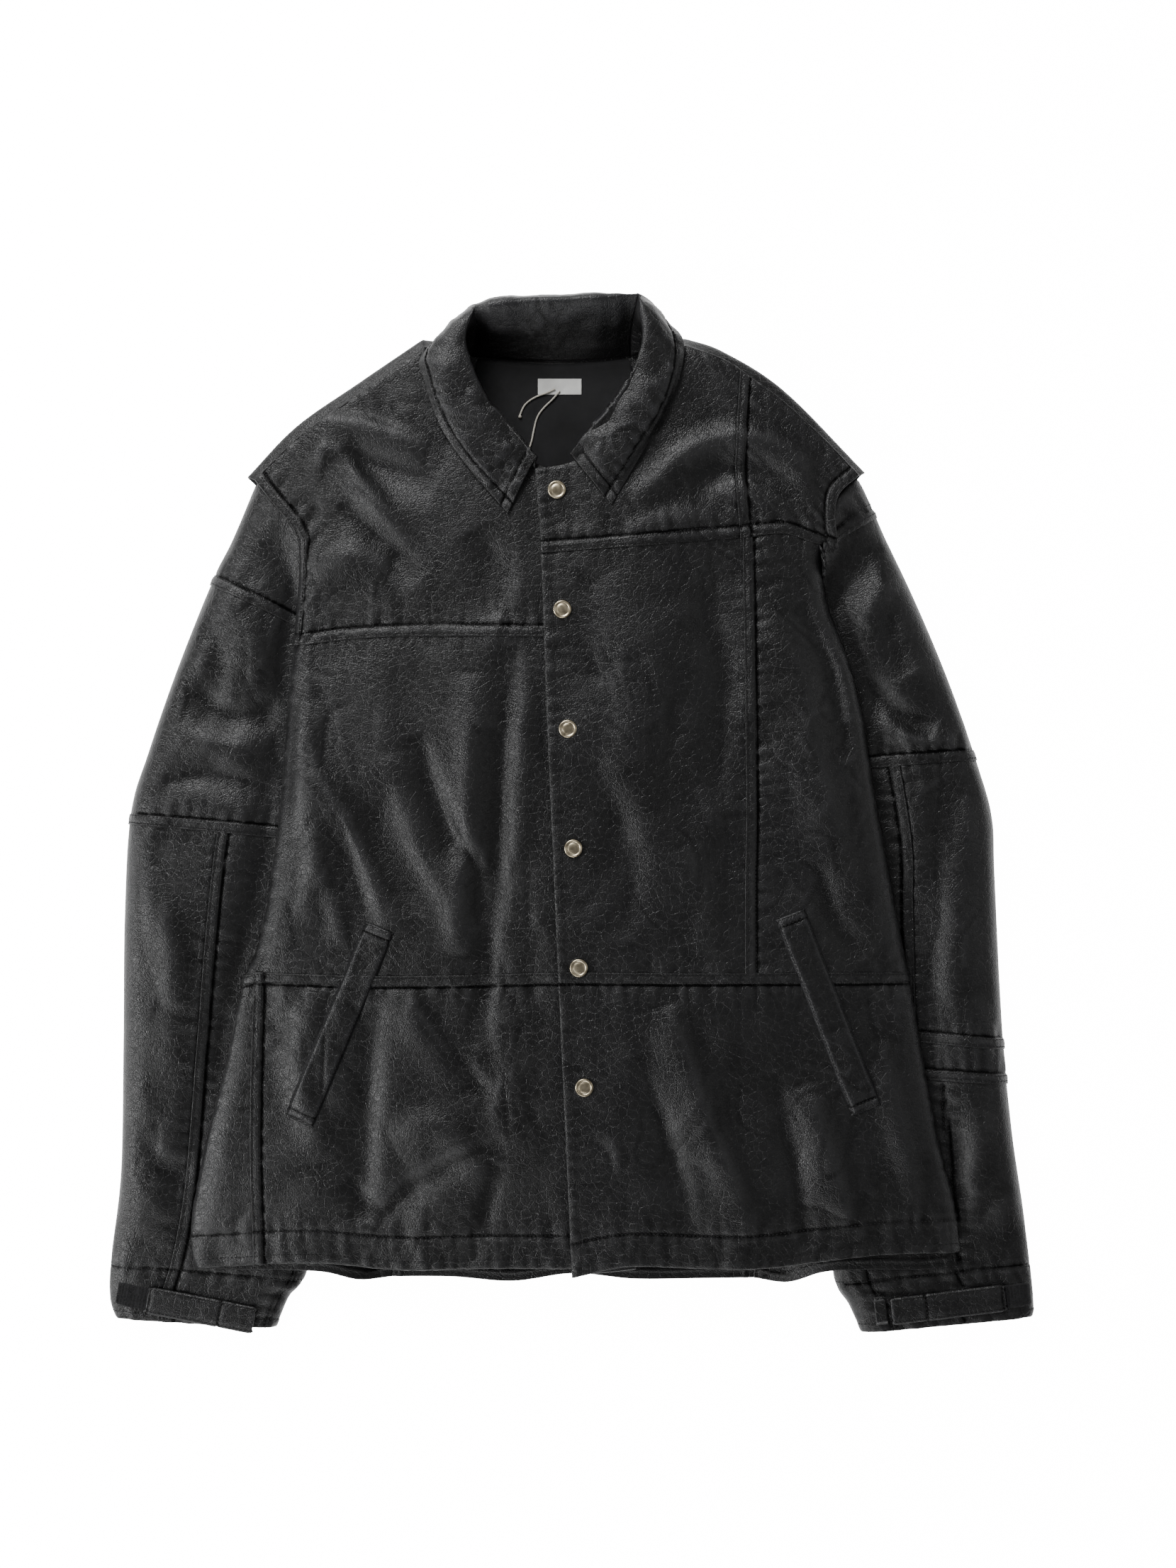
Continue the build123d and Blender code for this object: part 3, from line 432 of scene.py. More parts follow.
# %% sewing
def sew(name, p, edges, material, slot="leather", thickness=1.3, seed=1, bands=(), pucker=1.0):
    """Makes a panel from its grid. edges gives top, bottom, left and right as over, under, free, butt
    or none. bands are (edge, distance) rows of extra stitching, each pressed 0.5 mm into the leather."""
    p = p.copy()
    d = runs(p)
    # The second array gathers painted shade beside the seams and in the stitch grooves.
    lift, seam_shade = np.zeros(p.shape[:2]), np.zeros(p.shape[:2])
    rows = []
    for side, kind in edges.items():
        away = d[side]
        along = d["left"] if side in ("top", "bottom") else d["top"]
        salt = seed + {"top": 11, "bottom": 23, "left": 37, "right": 51}[side]
        if kind == "over":
            lift += 1.15 * (1 - step((away - 7.4) / 1.8)) - 0.5 * bell(away - 9.2, 1.2)
            lift += pucker * puckers(along, away - 8, salt, size=1.35) * step((away - 6) / 5)
            wrinkle = noise(along / 5.5, away / 9.0, salt + 3) * step(1 - np.abs(away - 4) / 4)
            lift += 0.35 * pucker * wrinkle
            rows += [(side, 1.5), (side, 7.0)]
            # Painted shade in the groove just past the lapped band.
            seam_shade += bell(away - 9.4, 1.5)
        elif kind == "free":
            lift += 0.35 * (1 - step((away - 6.5) / 3)) - 0.5 * step(1 - away / 1.2)
            lift += pucker * puckers(along, away, salt, size=1.1)
            rows += [(side, 7.0)]
        elif kind == "butt":
            lift += -0.7 * bell(away, 1.6) + pucker * puckers(along, away, salt, size=0.8)
        elif kind == "under":
            lift += pucker * puckers(along, away, salt) * step(away / 6)
            lift -= 0.9 * (1 - step((away - 1) / 5))
            # Painted shade along the edge that lies beneath a lap.
            seam_shade += 0.5 * (1 - step((away - 2) / 7))
    for side, at in bands:
        away = d[side]
        along = d["left"] if side in ("top", "bottom") else d["top"]
        lift -= 0.55 * bell(away - at, 1.1)
        # Painted shade in the pressed stitch groove.
        seam_shade += 0.8 * bell(away - at, 1.0)
        lift += pucker * puckers(along, away - at, seed + int(at), size=1.2, pitch=10) * step(away / 8)
        rows.append((side, at))
    for side, at in rows:
        lift -= 0.28 * bell(d[side] - at, 0.9)
    p += normals(p) * lift[..., None]
    n = normals(p)
    parts, marks = [closed(p, thickness)], [0]
    for side, at in rows:
        mean = d[side].mean(axis=1 if side in ("top", "bottom") else 0)
        k = int(np.argmin(np.abs(mean - at)))
        line = (p[k], n[k]) if side in ("top", "bottom") else (p[:, k], n[:, k])
        points, faces = capsules(*line)
        if len(points):
            parts.append((points, faces))
            marks.append(1)
    # Fold tops get a positive mark, painted paler as wear and a painted sheen; creases get a slight negative one and
    # the seam and stitch grooves a strong one, both painted shade.
    bend = sum(np.gradient(np.gradient(p[..., 2], axis=k), axis=k) for k in (0, 1))
    wear_and_painted_light = np.clip(np.clip(-bend * 2.2, -0.26, 1) - seam_shade, -1, 1)
    return make(name, parts, material, marks, np.concatenate([wear_and_painted_light.ravel(), wear_and_painted_light.ravel()]))


def place(piece, nodes, *bodies, **between):
    """Puts a piece in the place of CAD nodes, which it hides. It rides on one body; a piece given a span between two
    bodies is left where it lies, attached to neither.
    """
    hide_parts(*nodes)
    if between:
        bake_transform(piece)
    else:
        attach(piece, *bodies)

# %% [markdown]
# ## Leather
# Black garment leather is a nearly black dye under a thin satin finish, so the eye reads it by its sheen: grey where a
# fold turns to the light, black in the creases. The grain is small domed cells with fine wrinkles running through them.
# The colour is a little uneven. The tops of the folds are painted slightly paler, partly wear and partly a painted
# sheen, and the creases and seam grooves are painted darker and duller, as painted shade.


# %% colour and node helpers
def colour(code):
    """Linear colour of an sRGB hex code."""
    s = np.array([int(code[k:k + 2], 16) for k in (1, 3, 5)]) / 255
    return (*np.where(s <= 0.04045, s / 12.92, ((s + 0.055) / 1.055) ** 2.4), 1.0)


def add(tree, kind, settings=None, inputs=None):
    """Adds a node with settings, and sets or links its inputs."""
    made = tree.nodes.new(kind)
    for key, value in (settings or {}).items():
        setattr(made, key, value)
    for key, value in (inputs or {}).items():
        if isinstance(value, bpy.types.NodeSocket):
            tree.links.new(value, made.inputs[key])
        else:
            made.inputs[key].default_value = value
    return made


def ramp(tree, factor, stops):
    """A colour ramp with (place, colour or grey) stops."""
    made = add(tree, "ShaderNodeValToRGB", inputs={"Fac": factor})
    elements = made.color_ramp.elements
    for k, (place, value) in enumerate(stops):
        stop = elements[k] if k < 2 else elements.new(place)
        stop.position = place
        stop.color = value if isinstance(value, tuple) else (value, value, value, 1)
    return made.outputs["Color"]


def start(name):
    """A new material: its tree, its shader and its object coordinates."""
    material = bpy.data.materials.new(name)
    material.use_nodes = True
    tree = material.node_tree
    return material, tree, tree.nodes["Principled BSDF"], add(tree, "ShaderNodeTexCoord").outputs["Object"]


# %% leather material
def leather_material(name, dark, light, smooth, rough, sheen_grey):
    """Grained black leather. The thread attribute marks its stitches. The ridge attribute marks fold tops where it is
    above 0, mixed towards a pale grey as wear and a painted sheen, and creases and seam grooves below 0, mixed towards
    black with less specular as painted shade."""
    material, tree, shader, at = start(name)
    wander = add(tree, "ShaderNodeTexNoise", inputs={"Vector": at, "Scale": 9.0, "Detail": 5.0, "Roughness": 0.6})
    fine = add(tree, "ShaderNodeTexNoise", inputs={"Vector": at, "Scale": 120.0, "Detail": 6.0, "Roughness": 0.65})
    warped = add(tree, "ShaderNodeVectorMath", {"operation": "MULTIPLY_ADD"},
                 {0: fine.outputs["Color"], 1: (0.0012, 0.0012, 0.0012), 2: at})
    cells = add(tree, "ShaderNodeTexVoronoi", {"feature": "DISTANCE_TO_EDGE"},
                {"Vector": warped.outputs["Vector"], "Scale": 620.0})
    veins = add(tree, "ShaderNodeTexVoronoi", {"feature": "DISTANCE_TO_EDGE"},
                {"Vector": warped.outputs["Vector"], "Scale": 150.0})
    ridge = add(tree, "ShaderNodeAttribute", {"attribute_name": "ridge"}).outputs["Fac"]
    thread = add(tree, "ShaderNodeAttribute", {"attribute_name": "thread"}).outputs["Fac"]
    tone = ramp(tree, wander.outputs["Fac"], [(0.32, colour(dark)), (0.7, colour(light))])
    # Fold tops mixed towards a pale grey: partly wear, partly a painted sheen.
    wear_and_sheen_mix = add(tree, "ShaderNodeMapRange", inputs={"Value": ridge, "From Min": 0.05, "From Max": 0.9,
                                                     "To Min": 0.0, "To Max": 0.55})
    wear_and_painted_light = add(tree, "ShaderNodeMix", {"data_type": "RGBA"},
               {"Factor": wear_and_sheen_mix.outputs["Result"], "A": tone, "B": colour(sheen_grey)})
    # Creases and seam grooves mixed towards black, with their specular lowered: painted shade.
    shade = add(tree, "ShaderNodeMapRange", inputs={"Value": ridge, "From Min": -0.12,
                                                    "From Max": -0.9, "To Min": 0.0, "To Max": 0.92})
    deep = add(tree, "ShaderNodeMix", {"data_type": "RGBA"},
               {"Factor": shade.outputs["Result"], "A": wear_and_painted_light.outputs["Result"], "B": colour("#000000")})
    gleam = add(tree, "ShaderNodeMapRange",
                inputs={"Value": shade.outputs["Result"], "To Min": 0.42, "To Max": 0.04})
    tree.links.new(gleam.outputs["Result"], shader.inputs["Specular IOR Level"])
    sewn = add(tree, "ShaderNodeMix", {"data_type": "RGBA"},
               {"Factor": thread, "A": deep.outputs["Result"], "B": colour("#0c0c0d")})
    tree.links.new(sewn.outputs["Result"], shader.inputs["Base Color"])
    patchy = add(tree, "ShaderNodeTexNoise", inputs={"Vector": at, "Scale": 42.0, "Detail": 7.0, "Roughness": 0.72})
    gloss = add(tree, "ShaderNodeMapRange", inputs={"Value": patchy.outputs["Fac"], "From Min": 0.3, "From Max": 0.7,
                                                    "To Min": smooth, "To Max": rough})
    dull = add(tree, "ShaderNodeMix", {"data_type": "FLOAT"},
               {"Factor": thread, "A": gloss.outputs["Result"], "B": 0.85})
    tree.links.new(dull.outputs["Result"], shader.inputs["Roughness"])
    domes = ramp(tree, cells.outputs["Distance"], [(0.0, 0.0), (0.28, 1.0)])
    cracks = ramp(tree, veins.outputs["Distance"], [(0.0, 0.0), (0.07, 1.0)])
    low = add(tree, "ShaderNodeBump", inputs={"Strength": 0.6, "Distance": 0.0011, "Height": patchy.outputs["Fac"]})
    middle = add(tree, "ShaderNodeBump", inputs={"Strength": 0.3, "Distance": 0.0005, "Height": cracks,
                                                 "Normal": low.outputs["Normal"]})
    top = add(tree, "ShaderNodeBump", inputs={"Strength": 0.35, "Distance": 0.00035, "Height": domes,
                                              "Normal": middle.outputs["Normal"]})
    tree.links.new(top.outputs["Normal"], shader.inputs["Normal"])
    shader.inputs["Sheen Weight"].default_value = 0.02
    shader.inputs["Sheen Roughness"].default_value = 0.4
    return material


# Both leathers are black with a satin sheen. The trim of the collar, welts, facings and tabs is a
# little blacker and smoother, so those strips stand out from the panels.
# The last grey of each is the painted sheen that fold tops are mixed towards.
LEATHER = leather_material("black_leather", "#050505", "#0f0f10", 0.27, 0.44, "#262627")
TRIM_LEATHER = leather_material("black_leather_trim", "#050505", "#0e0e0f", 0.29, 0.43, "#28282a")


# %% cloth materials
def cloth_material(name, dark, light, pitch, rough, bump, shine=0.5):
    """Woven cloth: two crossing sets of threads, pitch mm apart, as bands over object coordinates. A
    wave texture of scale s repeats every 0.314 / s metres."""
    material, tree, shader, at = start(name)
    warp, weft = (add(tree, "ShaderNodeTexWave", {"bands_direction": way},
                      {"Vector": at, "Scale": 0.314 / (pitch * MM), "Distortion": 0.6, "Detail": 2.0})
                  for way in ("X", "Y"))
    weave = add(tree, "ShaderNodeMath", {"operation": "MULTIPLY"},
                {0: warp.outputs["Fac"], 1: weft.outputs["Fac"]})
    slub = add(tree, "ShaderNodeTexNoise", inputs={"Vector": at, "Scale": 60.0, "Detail": 6.0})
    both = add(tree, "ShaderNodeMath", {"operation": "MULTIPLY_ADD"},
               {0: weave.outputs["Value"], 1: 0.5, 2: slub.outputs["Fac"]})
    tone = ramp(tree, both.outputs["Value"], [(0.35, colour(dark)), (0.9, colour(light))])
    tree.links.new(tone, shader.inputs["Base Color"])
    raised = add(tree, "ShaderNodeBump",
                 inputs={"Strength": bump, "Distance": 0.0003, "Height": both.outputs["Value"]})
    tree.links.new(raised.outputs["Normal"], shader.inputs["Normal"])
    shader.inputs["Roughness"].default_value = rough
    shader.inputs["Specular IOR Level"].default_value = shine
    shader.inputs["Sheen Weight"].default_value = 0.04
    return material


# The lining is a dull black twill. The pocket cotton is a little paler, and the two tapes are black
# nylon: a soft pile, and a smoother ground under the hooks.
LINING = cloth_material("black_twill_lining", "#0b0b0c", "#19191b", 0.5, 0.55, 0.5, shine=0.2)
POCKETING = cloth_material("pocket_cotton", "#141415", "#262628", 0.7, 0.85, 0.7)
LOOP_TAPE = cloth_material("loop_pile", "#060607", "#1c1c1e", 1.1, 0.95, 1.0)
HOOK_TAPE = cloth_material("hook_tape", "#050506", "#121213", 1.3, 0.6, 1.0)
# The label is off-white satin, the string raw cotton, and the tag a smooth white card: the only light
# pieces, which draw the eye to the neck.
LABEL = cloth_material("label_satin", "#b9b9b6", "#e2e2df", 0.45, 0.5, 0.35)
COTTON = cloth_material("cotton_string", "#9a958a", "#d2cdc2", 0.9, 0.85, 0.9)
CARD = cloth_material("white_card", "#d6d5d0", "#efeeea", 2.5, 0.75, 0.15)
for cord in (tag_string, string_tail):
    cord.data.materials.append(COTTON)


# %% metal material
def metal_material(name, dark, light, rough):
    """Plated metal with fine turning scratches and slight tarnish."""
    material, tree, shader, at = start(name)
    stain = add(tree, "ShaderNodeTexNoise", inputs={"Vector": at, "Scale": 240.0, "Detail": 6.0})
    tone = ramp(tree, stain.outputs["Fac"], [(0.3, colour(dark)), (0.7, colour(light))])
    tree.links.new(tone, shader.inputs["Base Color"])
    scuff = add(tree, "ShaderNodeMapRange",
                inputs={"Value": stain.outputs["Fac"], "To Min": rough - 0.08, "To Max": rough + 0.12})
    tree.links.new(scuff.outputs["Result"], shader.inputs["Roughness"])
    fine = add(tree, "ShaderNodeTexNoise", inputs={"Vector": at, "Scale": 1400.0, "Detail": 3.0})
    raised = add(tree, "ShaderNodeBump",
                 inputs={"Strength": 0.12, "Distance": 0.0001, "Height": fine.outputs["Fac"]})
    tree.links.new(raised.outputs["Normal"], shader.inputs["Normal"])
    shader.inputs["Metallic"].default_value = 1.0
    return material


# Pale nickel gives the eye six small warm glints down the front.
SNAP_METAL = metal_material("pale_nickel", "#a3977e", "#c9bea6", 0.3)
for name in ("snap_sockets", "snap_studs"):
    frame["nodes"][name].data.materials.clear()
    frame["nodes"][name].data.materials.append(SNAP_METAL)

# %% floor material
# White paper that is bright to the camera and only faintly lights the jacket's edges.
floor_material, floor_tree, floor_shader, floor_at = start("white_paper")
paper = add(floor_tree, "ShaderNodeTexNoise", inputs={"Vector": floor_at, "Scale": 3.0})
tint = ramp(floor_tree, paper.outputs["Fac"], [(0.0, colour("#f4f4f4")), (1.0, colour("#f7f7f7"))])
floor_tree.links.new(tint, floor_shader.inputs["Base Color"])
floor_shader.inputs["Roughness"].default_value = 0.9
floor_shader.inputs["Emission Color"].default_value = (1, 1, 1, 1)
seen = add(floor_tree, "ShaderNodeLightPath").outputs["Is Camera Ray"]
glow = add(floor_tree, "ShaderNodeMapRange", inputs={"Value": seen, "To Min": 1.6, "To Max": 15.0})
floor_tree.links.new(glow.outputs["Result"], floor_shader.inputs["Emission Strength"])
floor_mesh.materials.append(floor_material)

# %% [markdown]
# ## The body's lines
# Heights come from the CAD: the crown of the closed fronts, the level of the side panels over the
# sleeves, and the right front lying lower than the left by the thickness of a snap. The sides of the
# body are smooth curves inside the CAD outline. The fronts roll over at the sides to meet the back.

# %% levels and outlines
LEFT_FOLD = JOINTS["left_front_opens"]["pos_m"][0] / MM
RIGHT_FOLD = JOINTS["right_front_opens"]["pos_m"][0] / MM
HEM = box("left_skirt_panel")[0][1]
WAIST = box("left_chest_front")[0][1]
LEFT_YOKE = box("left_chest_front")[1][1]
RIGHT_YOKE = box("right_chest_front")[1][1]
CROWN = box("left_chest_front")[1][2]
DROP = CROWN - box("right_chest_front")[1][2]
BOW_RADIUS = 3200.0
SIDE_TOP = box("back_left_side_panel")[1][2]
SLEEVE_TOP = box("right_upper_sleeve")[1][2]
print("hem", HEM, "waist", WAIST, "yokes", RIGHT_YOKE, LEFT_YOKE)
print("crown", CROWN, "drop", DROP, "sides", SIDE_TOP)

RIGHT_SIDE = [(-223, 236), (-226, 180), (-237, 75), (-243, 0), (-259, -100), (-272, -130), (-285, -195),
              (-303, -265), (-316, -340), (-312, HEM)]
LEFT_SIDE = [(204, 215), (212, 170), (234, 112), (249, 22), (267, -75), (281, -150), (300, -256), (315, -317),
             (320, -352), (318, HEM)]
PLACKET = [(-31, 287), (-26, 222), (-21.5, 95), (-14.5, -66), (-9, -190), (-2.5, -330), (-0.5, HEM - 5)]


def crown(x, side):
    """Height of a smooth closed front: a very wide arc, with the right front a snap's height lower."""
    return CROWN - (DROP if side < 0 else 0) - x * x / (2 * BOW_RADIUS)


def across(line, y):
    """x of an outline at height y."""
    dense = curve(line, np.linspace(0, 1, 120))
    return np.interp(-y, -dense[:, 1], dense[:, 0])


def upto(line, top, bottom, count=7):
    """The stretch of an outline between two heights, as a list of points going down."""
    return [(float(across(line, y)), float(y)) for y in np.linspace(top, bottom, count)]


# %% folds of the fronts
RIGHT_FOLDS = [
    ([(-236, 92), (-205, 30), (-168, -45), (-140, -95)], 6.5, 12, 26),
    ([(-48, 145), (-58, 53), (-62, -37), (-69, -85), (-69, -123), (-76, -185)], -7.0, 9, 17),
    ([(-86, 120), (-84, 60), (-88, -40), (-96, -110)], 5.0, 22, 12),
    ([(-128, 72), (-106, 3), (-82, -37), (-69, -85)], -5.5, 8, 17),
    ([(-150, 55), (-126, -20), (-104, -60), (-88, -110)], 4.4, 18, 12),
    ([(-196, 10), (-176, -50), (-164, -92)], -4.0, 7, 14),
    ([(-226, 40), (-216, -20), (-218, -90)], 3.4, 12, 10),
    ([(-215, -20), (-198, -66), (-190, -108)], 3.0, 8, 9),
    ([(-161, -150), (-170, -245), (-172, -330)], -5.0, 9, 16),
    ([(-146, -135), (-116, -172), (-84, -215)], 5.0, 8, 17),
    ([(-128, -150), (-100, -190), (-64, -232)], -3.6, 7, 12),
    ([(-186, -292), (-160, -320), (-130, -298), (-90, -276), (-56, -262)], -4.4, 6, 12),
    ([(-150, -260), (-110, -250), (-66, -300)], 3.4, 12, 16),
    ([(-61, -280), (-70, -315), (-79, -345)], -3.4, 8, 10),
    ([(-212, -135), (-224, -200), (-206, -280)], 4.4, 13, 14),
    ([(-228, 326), (-180, 326), (-118, 306)], 5.0, 7, 18),
    ([(-205, 300), (-160, 292), (-112, 276)], -4.0, 9, 16),
    ([(-240, 292), (-196, 302), (-172, 272), (-136, 222)], 6.0, 10, 16),
    ([(-246, 270), (-222, 248), (-210, 262)], -3.4, 6, 8),
    ([(-190, 262), (-160, 236), (-128, 196)], -4.4, 12, 12),
    ([(-80, 240), (-62, 205), (-58, 165)], -3.4, 11, 16),
    ([(-214, 205), (-180, 216), (-150, 206)], 4.0, 14, 16),
]
LEFT_FOLDS = [
    ([(78, -150), (108, -240), (132, -298), (147, -345)], 6.0, 10, 19),
    ([(52, -190), (80, -270), (98, -345)], -4.0, 9, 15),
    ([(192, -215), (212, -285), (232, -345)], 5.0, 11, 16),
    ([(164, -205), (182, -285), (194, -350)], -3.8, 9, 12),
    ([(250, -180), (268, -250), (286, -330)], 3.2, 10, 12),
    ([(48, 258), (92, 300), (130, 314), (172, 304), (208, 262)], 5.2, 10, 15),
    ([(96, 270), (132, 286), (170, 276), (196, 246)], -4.4, 12, 10),
    ([(40, 232), (90, 250), (138, 240)], 2.6, 9, 14),
    ([(26, 200), (66, 130), (56, 45), (84, -60)], 3.2, 18, 24),
    ([(6, 60), (40, -10), (44, -95)], -3.0, 14, 18),
    ([(156, 190), (188, 110), (204, 30), (234, -66)], 4.0, 12, 20),
    ([(186, 180), (212, 120), (226, 50)], -3.6, 8, 10),
    ([(106, 205), (124, 110), (112, 10)], -3.0, 12, 16),
    ([(200, -30), (214, -80), (240, -110)], -2.6, 8, 12),
    ([(92, -20), (110, -70), (104, -112)], 2.6, 12, 12),
]


SIDE_ROLL = 16
DEEPEST = 3


def front(x, y, side):
    """Outer face of a closed front: the CAD's crown, its folds and its crumple, rolled down at the side
    seam by a quarter of an ellipse. It lies flat round the snaps, and hollows deeper than 3 mm level out
    towards 6 mm, d = 3 + 3 tanh((depth - 3) / 3)."""
    folds = sum(fold(x, y, *f) for f in (RIGHT_FOLDS if side < 0 else LEFT_FOLDS))
    edge = across(RIGHT_SIDE if side < 0 else LEFT_SIDE, np.clip(y, HEM, 236))
    inside = (edge - x) * side
    seat = x - across(PLACKET, y)
    flat = 0.75 * bell(seat, 26) if side > 0 else 0.97 * step((seat + 24) / 22)
    loose = step(inside / 22 + 0.1) * (1 - flat)
    relief = (folds + 0.8 * crumple(x, y, 3 if side < 0 else 40, 1.25)) * loose
    deep = -DEEPEST - DEEPEST * np.tanh((-DEEPEST - relief) / DEEPEST)
    top = crown(x, side) + np.where(relief < -DEEPEST, deep, relief)
    roll = (1 - rounded(inside, SIDE_ROLL)) * (1 - step((y - 196) / 44))
    return top - (top - SIDE_TOP - 1.6) * roll


def lay(flat, side):
    """Lifts a flat grid onto a front."""
    return np.dstack([flat, front(flat[..., 0], flat[..., 1], side)])


# %% [markdown]
# ## The fronts
# Each front is three panels deep: a yoke, a chest panel and a skirt, with a raised waist seam. The left front also has
# a lengthwise seam. The right front runs on beneath the left one. A panel that crosses a fold line is left where it
# lies, attached to neither the front nor the body.

# %% front panels
FOLD_REACH = 18


def bending(fold_x, side):
    """Where a front's bend starts and ends, so many mm to each side of its fold line."""
    near, far = ((fold_x - way * side * FOLD_REACH) * MM for way in (1, -1))
    return dict(start=(near, 0, 0.03), end=(far, 0, 0.03))


RIGHT_BENDS = ("right_front", "jacket_body"), bending(RIGHT_FOLD, -1)
LEFT_BENDS = ("left_front", "jacket_body"), bending(LEFT_FOLD, 1)
under_edge = [(x + 32, y) for x, y in PLACKET]
RIGHT_TIP, LEFT_TIP = (-261, 280), (234, 283)
right_shoulder = [RIGHT_TIP, (-222, 317), (-172, 352), (-122, 388)]
right_neckline = [(-122, 388), (-103, 350), (-66, 312), (-28, 291), (1, 286)]
right_armhole = [RIGHT_TIP, (-247, 262), (-232, 244), (-223.5, 228)]
left_shoulder = [(91, 388), (120, 376), (168, 344), LEFT_TIP]
left_neckline = [(-31, 287), (0, 293), (32, 314), (66, 350), (91, 388)]


def fronts(name, flat, side, edges, nodes, seed, **extra):
    """Sews a front panel. One that crosses its front's fold line is left where it lies, attached to neither the front
    nor the body.
    """
    piece = sew(name, lay(flat, side), edges, LEATHER, seed=seed, **extra)
    if len(nodes) > 1:
        bodies, between = RIGHT_BENDS if side < 0 else LEFT_BENDS
        place(piece, nodes, *bodies, **between)
    else:
        place(piece, nodes, "jacket_body")


fronts("right_yoke", patch(
    [right_shoulder, right_neckline], [(-226, RIGHT_YOKE - 5), (-150, RIGHT_YOKE + 2), (1, RIGHT_YOKE + 2)],
    [right_armhole, upto(RIGHT_SIDE, 228, RIGHT_YOKE - 5, 4)], upto(under_edge, 286, RIGHT_YOKE + 2)),
    -1, dict(left="over", bottom="over", top="butt"), ["right_yoke_front", "right_yoke_panel"], 100)
fronts("right_chest", patch(
    [(-226, RIGHT_YOKE + 1), (-150, RIGHT_YOKE + 8), (1, RIGHT_YOKE + 8)],
    [(-265, WAIST - 8), (-150, WAIST - 11), (10, WAIST - 8)],
    upto(RIGHT_SIDE, RIGHT_YOKE + 1, WAIST - 8), upto(under_edge, RIGHT_YOKE + 8, WAIST - 8)),
    -1, dict(top="under", bottom="under", left="butt"), ["right_chest_front", "right_chest_panel"], 120)
side_seam = [(-262, WAIST), (-265, WAIST - 130), (-262, HEM + 2)]
HEM_STITCH = [("bottom", 27)]
fronts("right_skirt", patch(
    [(-262, WAIST - 2), (-150, WAIST - 4), (10, WAIST + 1)],
    [(-262, HEM + 1), (-214, HEM + 3), (-150, HEM - 2), (-85, HEM), (10, HEM)],
    side_seam, upto(under_edge, WAIST + 1, HEM)),
    -1, dict(top="over", bottom="free", left="over"), ["right_skirt_front", "right_skirt_panel"], 140,
    bands=HEM_STITCH)
fronts("right_side", patch(
    [(-270, WAIST - 3), (-255, WAIST - 2)], [(-303, HEM - 3), (-256, HEM + 2)],
    upto(RIGHT_SIDE, WAIST - 3, HEM - 3), [(x + 6, y) for x, y in side_seam]),
    -1, dict(top="over", right="under", bottom="free", left="butt"), ["right_side_panel"], 160,
    bands=HEM_STITCH)

fronts("left_yoke", patch(
    [left_neckline, [(91, 388), (120, 378), (141, 366)]],
    [(-24, LEFT_YOKE - 1), (60, LEFT_YOKE + 5), (141, LEFT_YOKE + 12)],
    upto(PLACKET, 287, LEFT_YOKE - 1), [(141, 366), (137, 294), (141, LEFT_YOKE + 12)]),
    1, dict(bottom="over", left="free", right="under", top="butt"),
    ["left_yoke_front", "left_yoke_panel"], 200)
fronts("left_shoulder", patch(
    [(137, 368), (168, 346), (203, 315), LEFT_TIP],
    [(137, LEFT_YOKE + 11), (172, LEFT_YOKE + 15), (196, LEFT_YOKE + 8), (217, LEFT_YOKE + 3)],
    [(137, 368), (133, 294), (137, LEFT_YOKE + 11)],
    [LEFT_TIP, (218, 268), (214, 250), (217, LEFT_YOKE + 3)]),
    1, dict(left="over", bottom="over", right="over", top="butt"), ["left_shoulder_panel"], 220)
fronts("left_chest", patch(
    [(-24, LEFT_YOKE + 5), (60, LEFT_YOKE + 11), (147, LEFT_YOKE + 18)],
    [(-12, WAIST - 8), (70, WAIST - 8), (149, WAIST - 8)],
    upto(PLACKET, LEFT_YOKE + 5, WAIST - 8), [(147, LEFT_YOKE + 18), (150, 30), (149, -60), (149, WAIST - 8)]),
    1, dict(top="under", bottom="under", left="free", right="under"),
    ["left_chest_front", "left_chest_panel"], 240)
fronts("left_side_chest", patch(
    [(139, LEFT_YOKE + 17), (172, LEFT_YOKE + 21), (196, LEFT_YOKE + 14), (216, LEFT_YOKE + 9)],
    [(141, WAIST - 8), (276, WAIST - 8)],
    [(139, LEFT_YOKE + 17), (142, 30), (141, -60), (141, WAIST - 8)],
    [[(216, LEFT_YOKE + 9), (213, 212), (208, 190)], upto(LEFT_SIDE, 190, WAIST - 8)]),
    1, dict(top="under", bottom="under", left="over", right="butt"), ["left_side_chest_panel"], 260)
fronts("left_skirt", patch(
    [(-13, WAIST + 1), (75, WAIST), (150, WAIST), (276, WAIST)],
    [(-0.5, HEM - 6), (45, HEM + 3), (100, HEM + 1), (155, HEM + 1), (200, HEM + 6), (256, HEM + 11),
     (316, HEM + 12)],
    upto(PLACKET, WAIST + 1, HEM - 6), upto(LEFT_SIDE, WAIST, HEM + 12)),
    1, dict(top="over", bottom="free", left="free", right="butt"),
    ["left_skirt_front", "left_skirt_panel"], 280, bands=HEM_STITCH)

# %% [markdown]
# ## The back
# The back lies on the table in the middle and climbs over the sleeves at the sides, where it meets the fronts in the
# side seams. Its yoke rolls over the shoulders: the shoulder seams lie a little way down the front. A net of a few
# given rows, joined by smooth curves, gives that roll.


# %% nets
def net(rows, length_along, length_across, pitch=3.0, fine=(False, False, False, False)):
    """A grid through a few rows of 3-D points: each row is a smooth curve, and so is each line that
    crosses them."""
    u = spread(length_along, pitch, fine[2:])
    v = spread(length_across, pitch, fine[:2])
    lines = np.stack([walk(row, u) for row in rows])
    return curve(lines, v)


def back_level(x):
    """Height of the back's outer face over the table: flat to the CAD's middle panel, then up a smooth
    ramp to lie on the sleeves."""
    return 0.5 + (SIDE_TOP - 1.5) * step((np.abs(x) - 148) / 66)


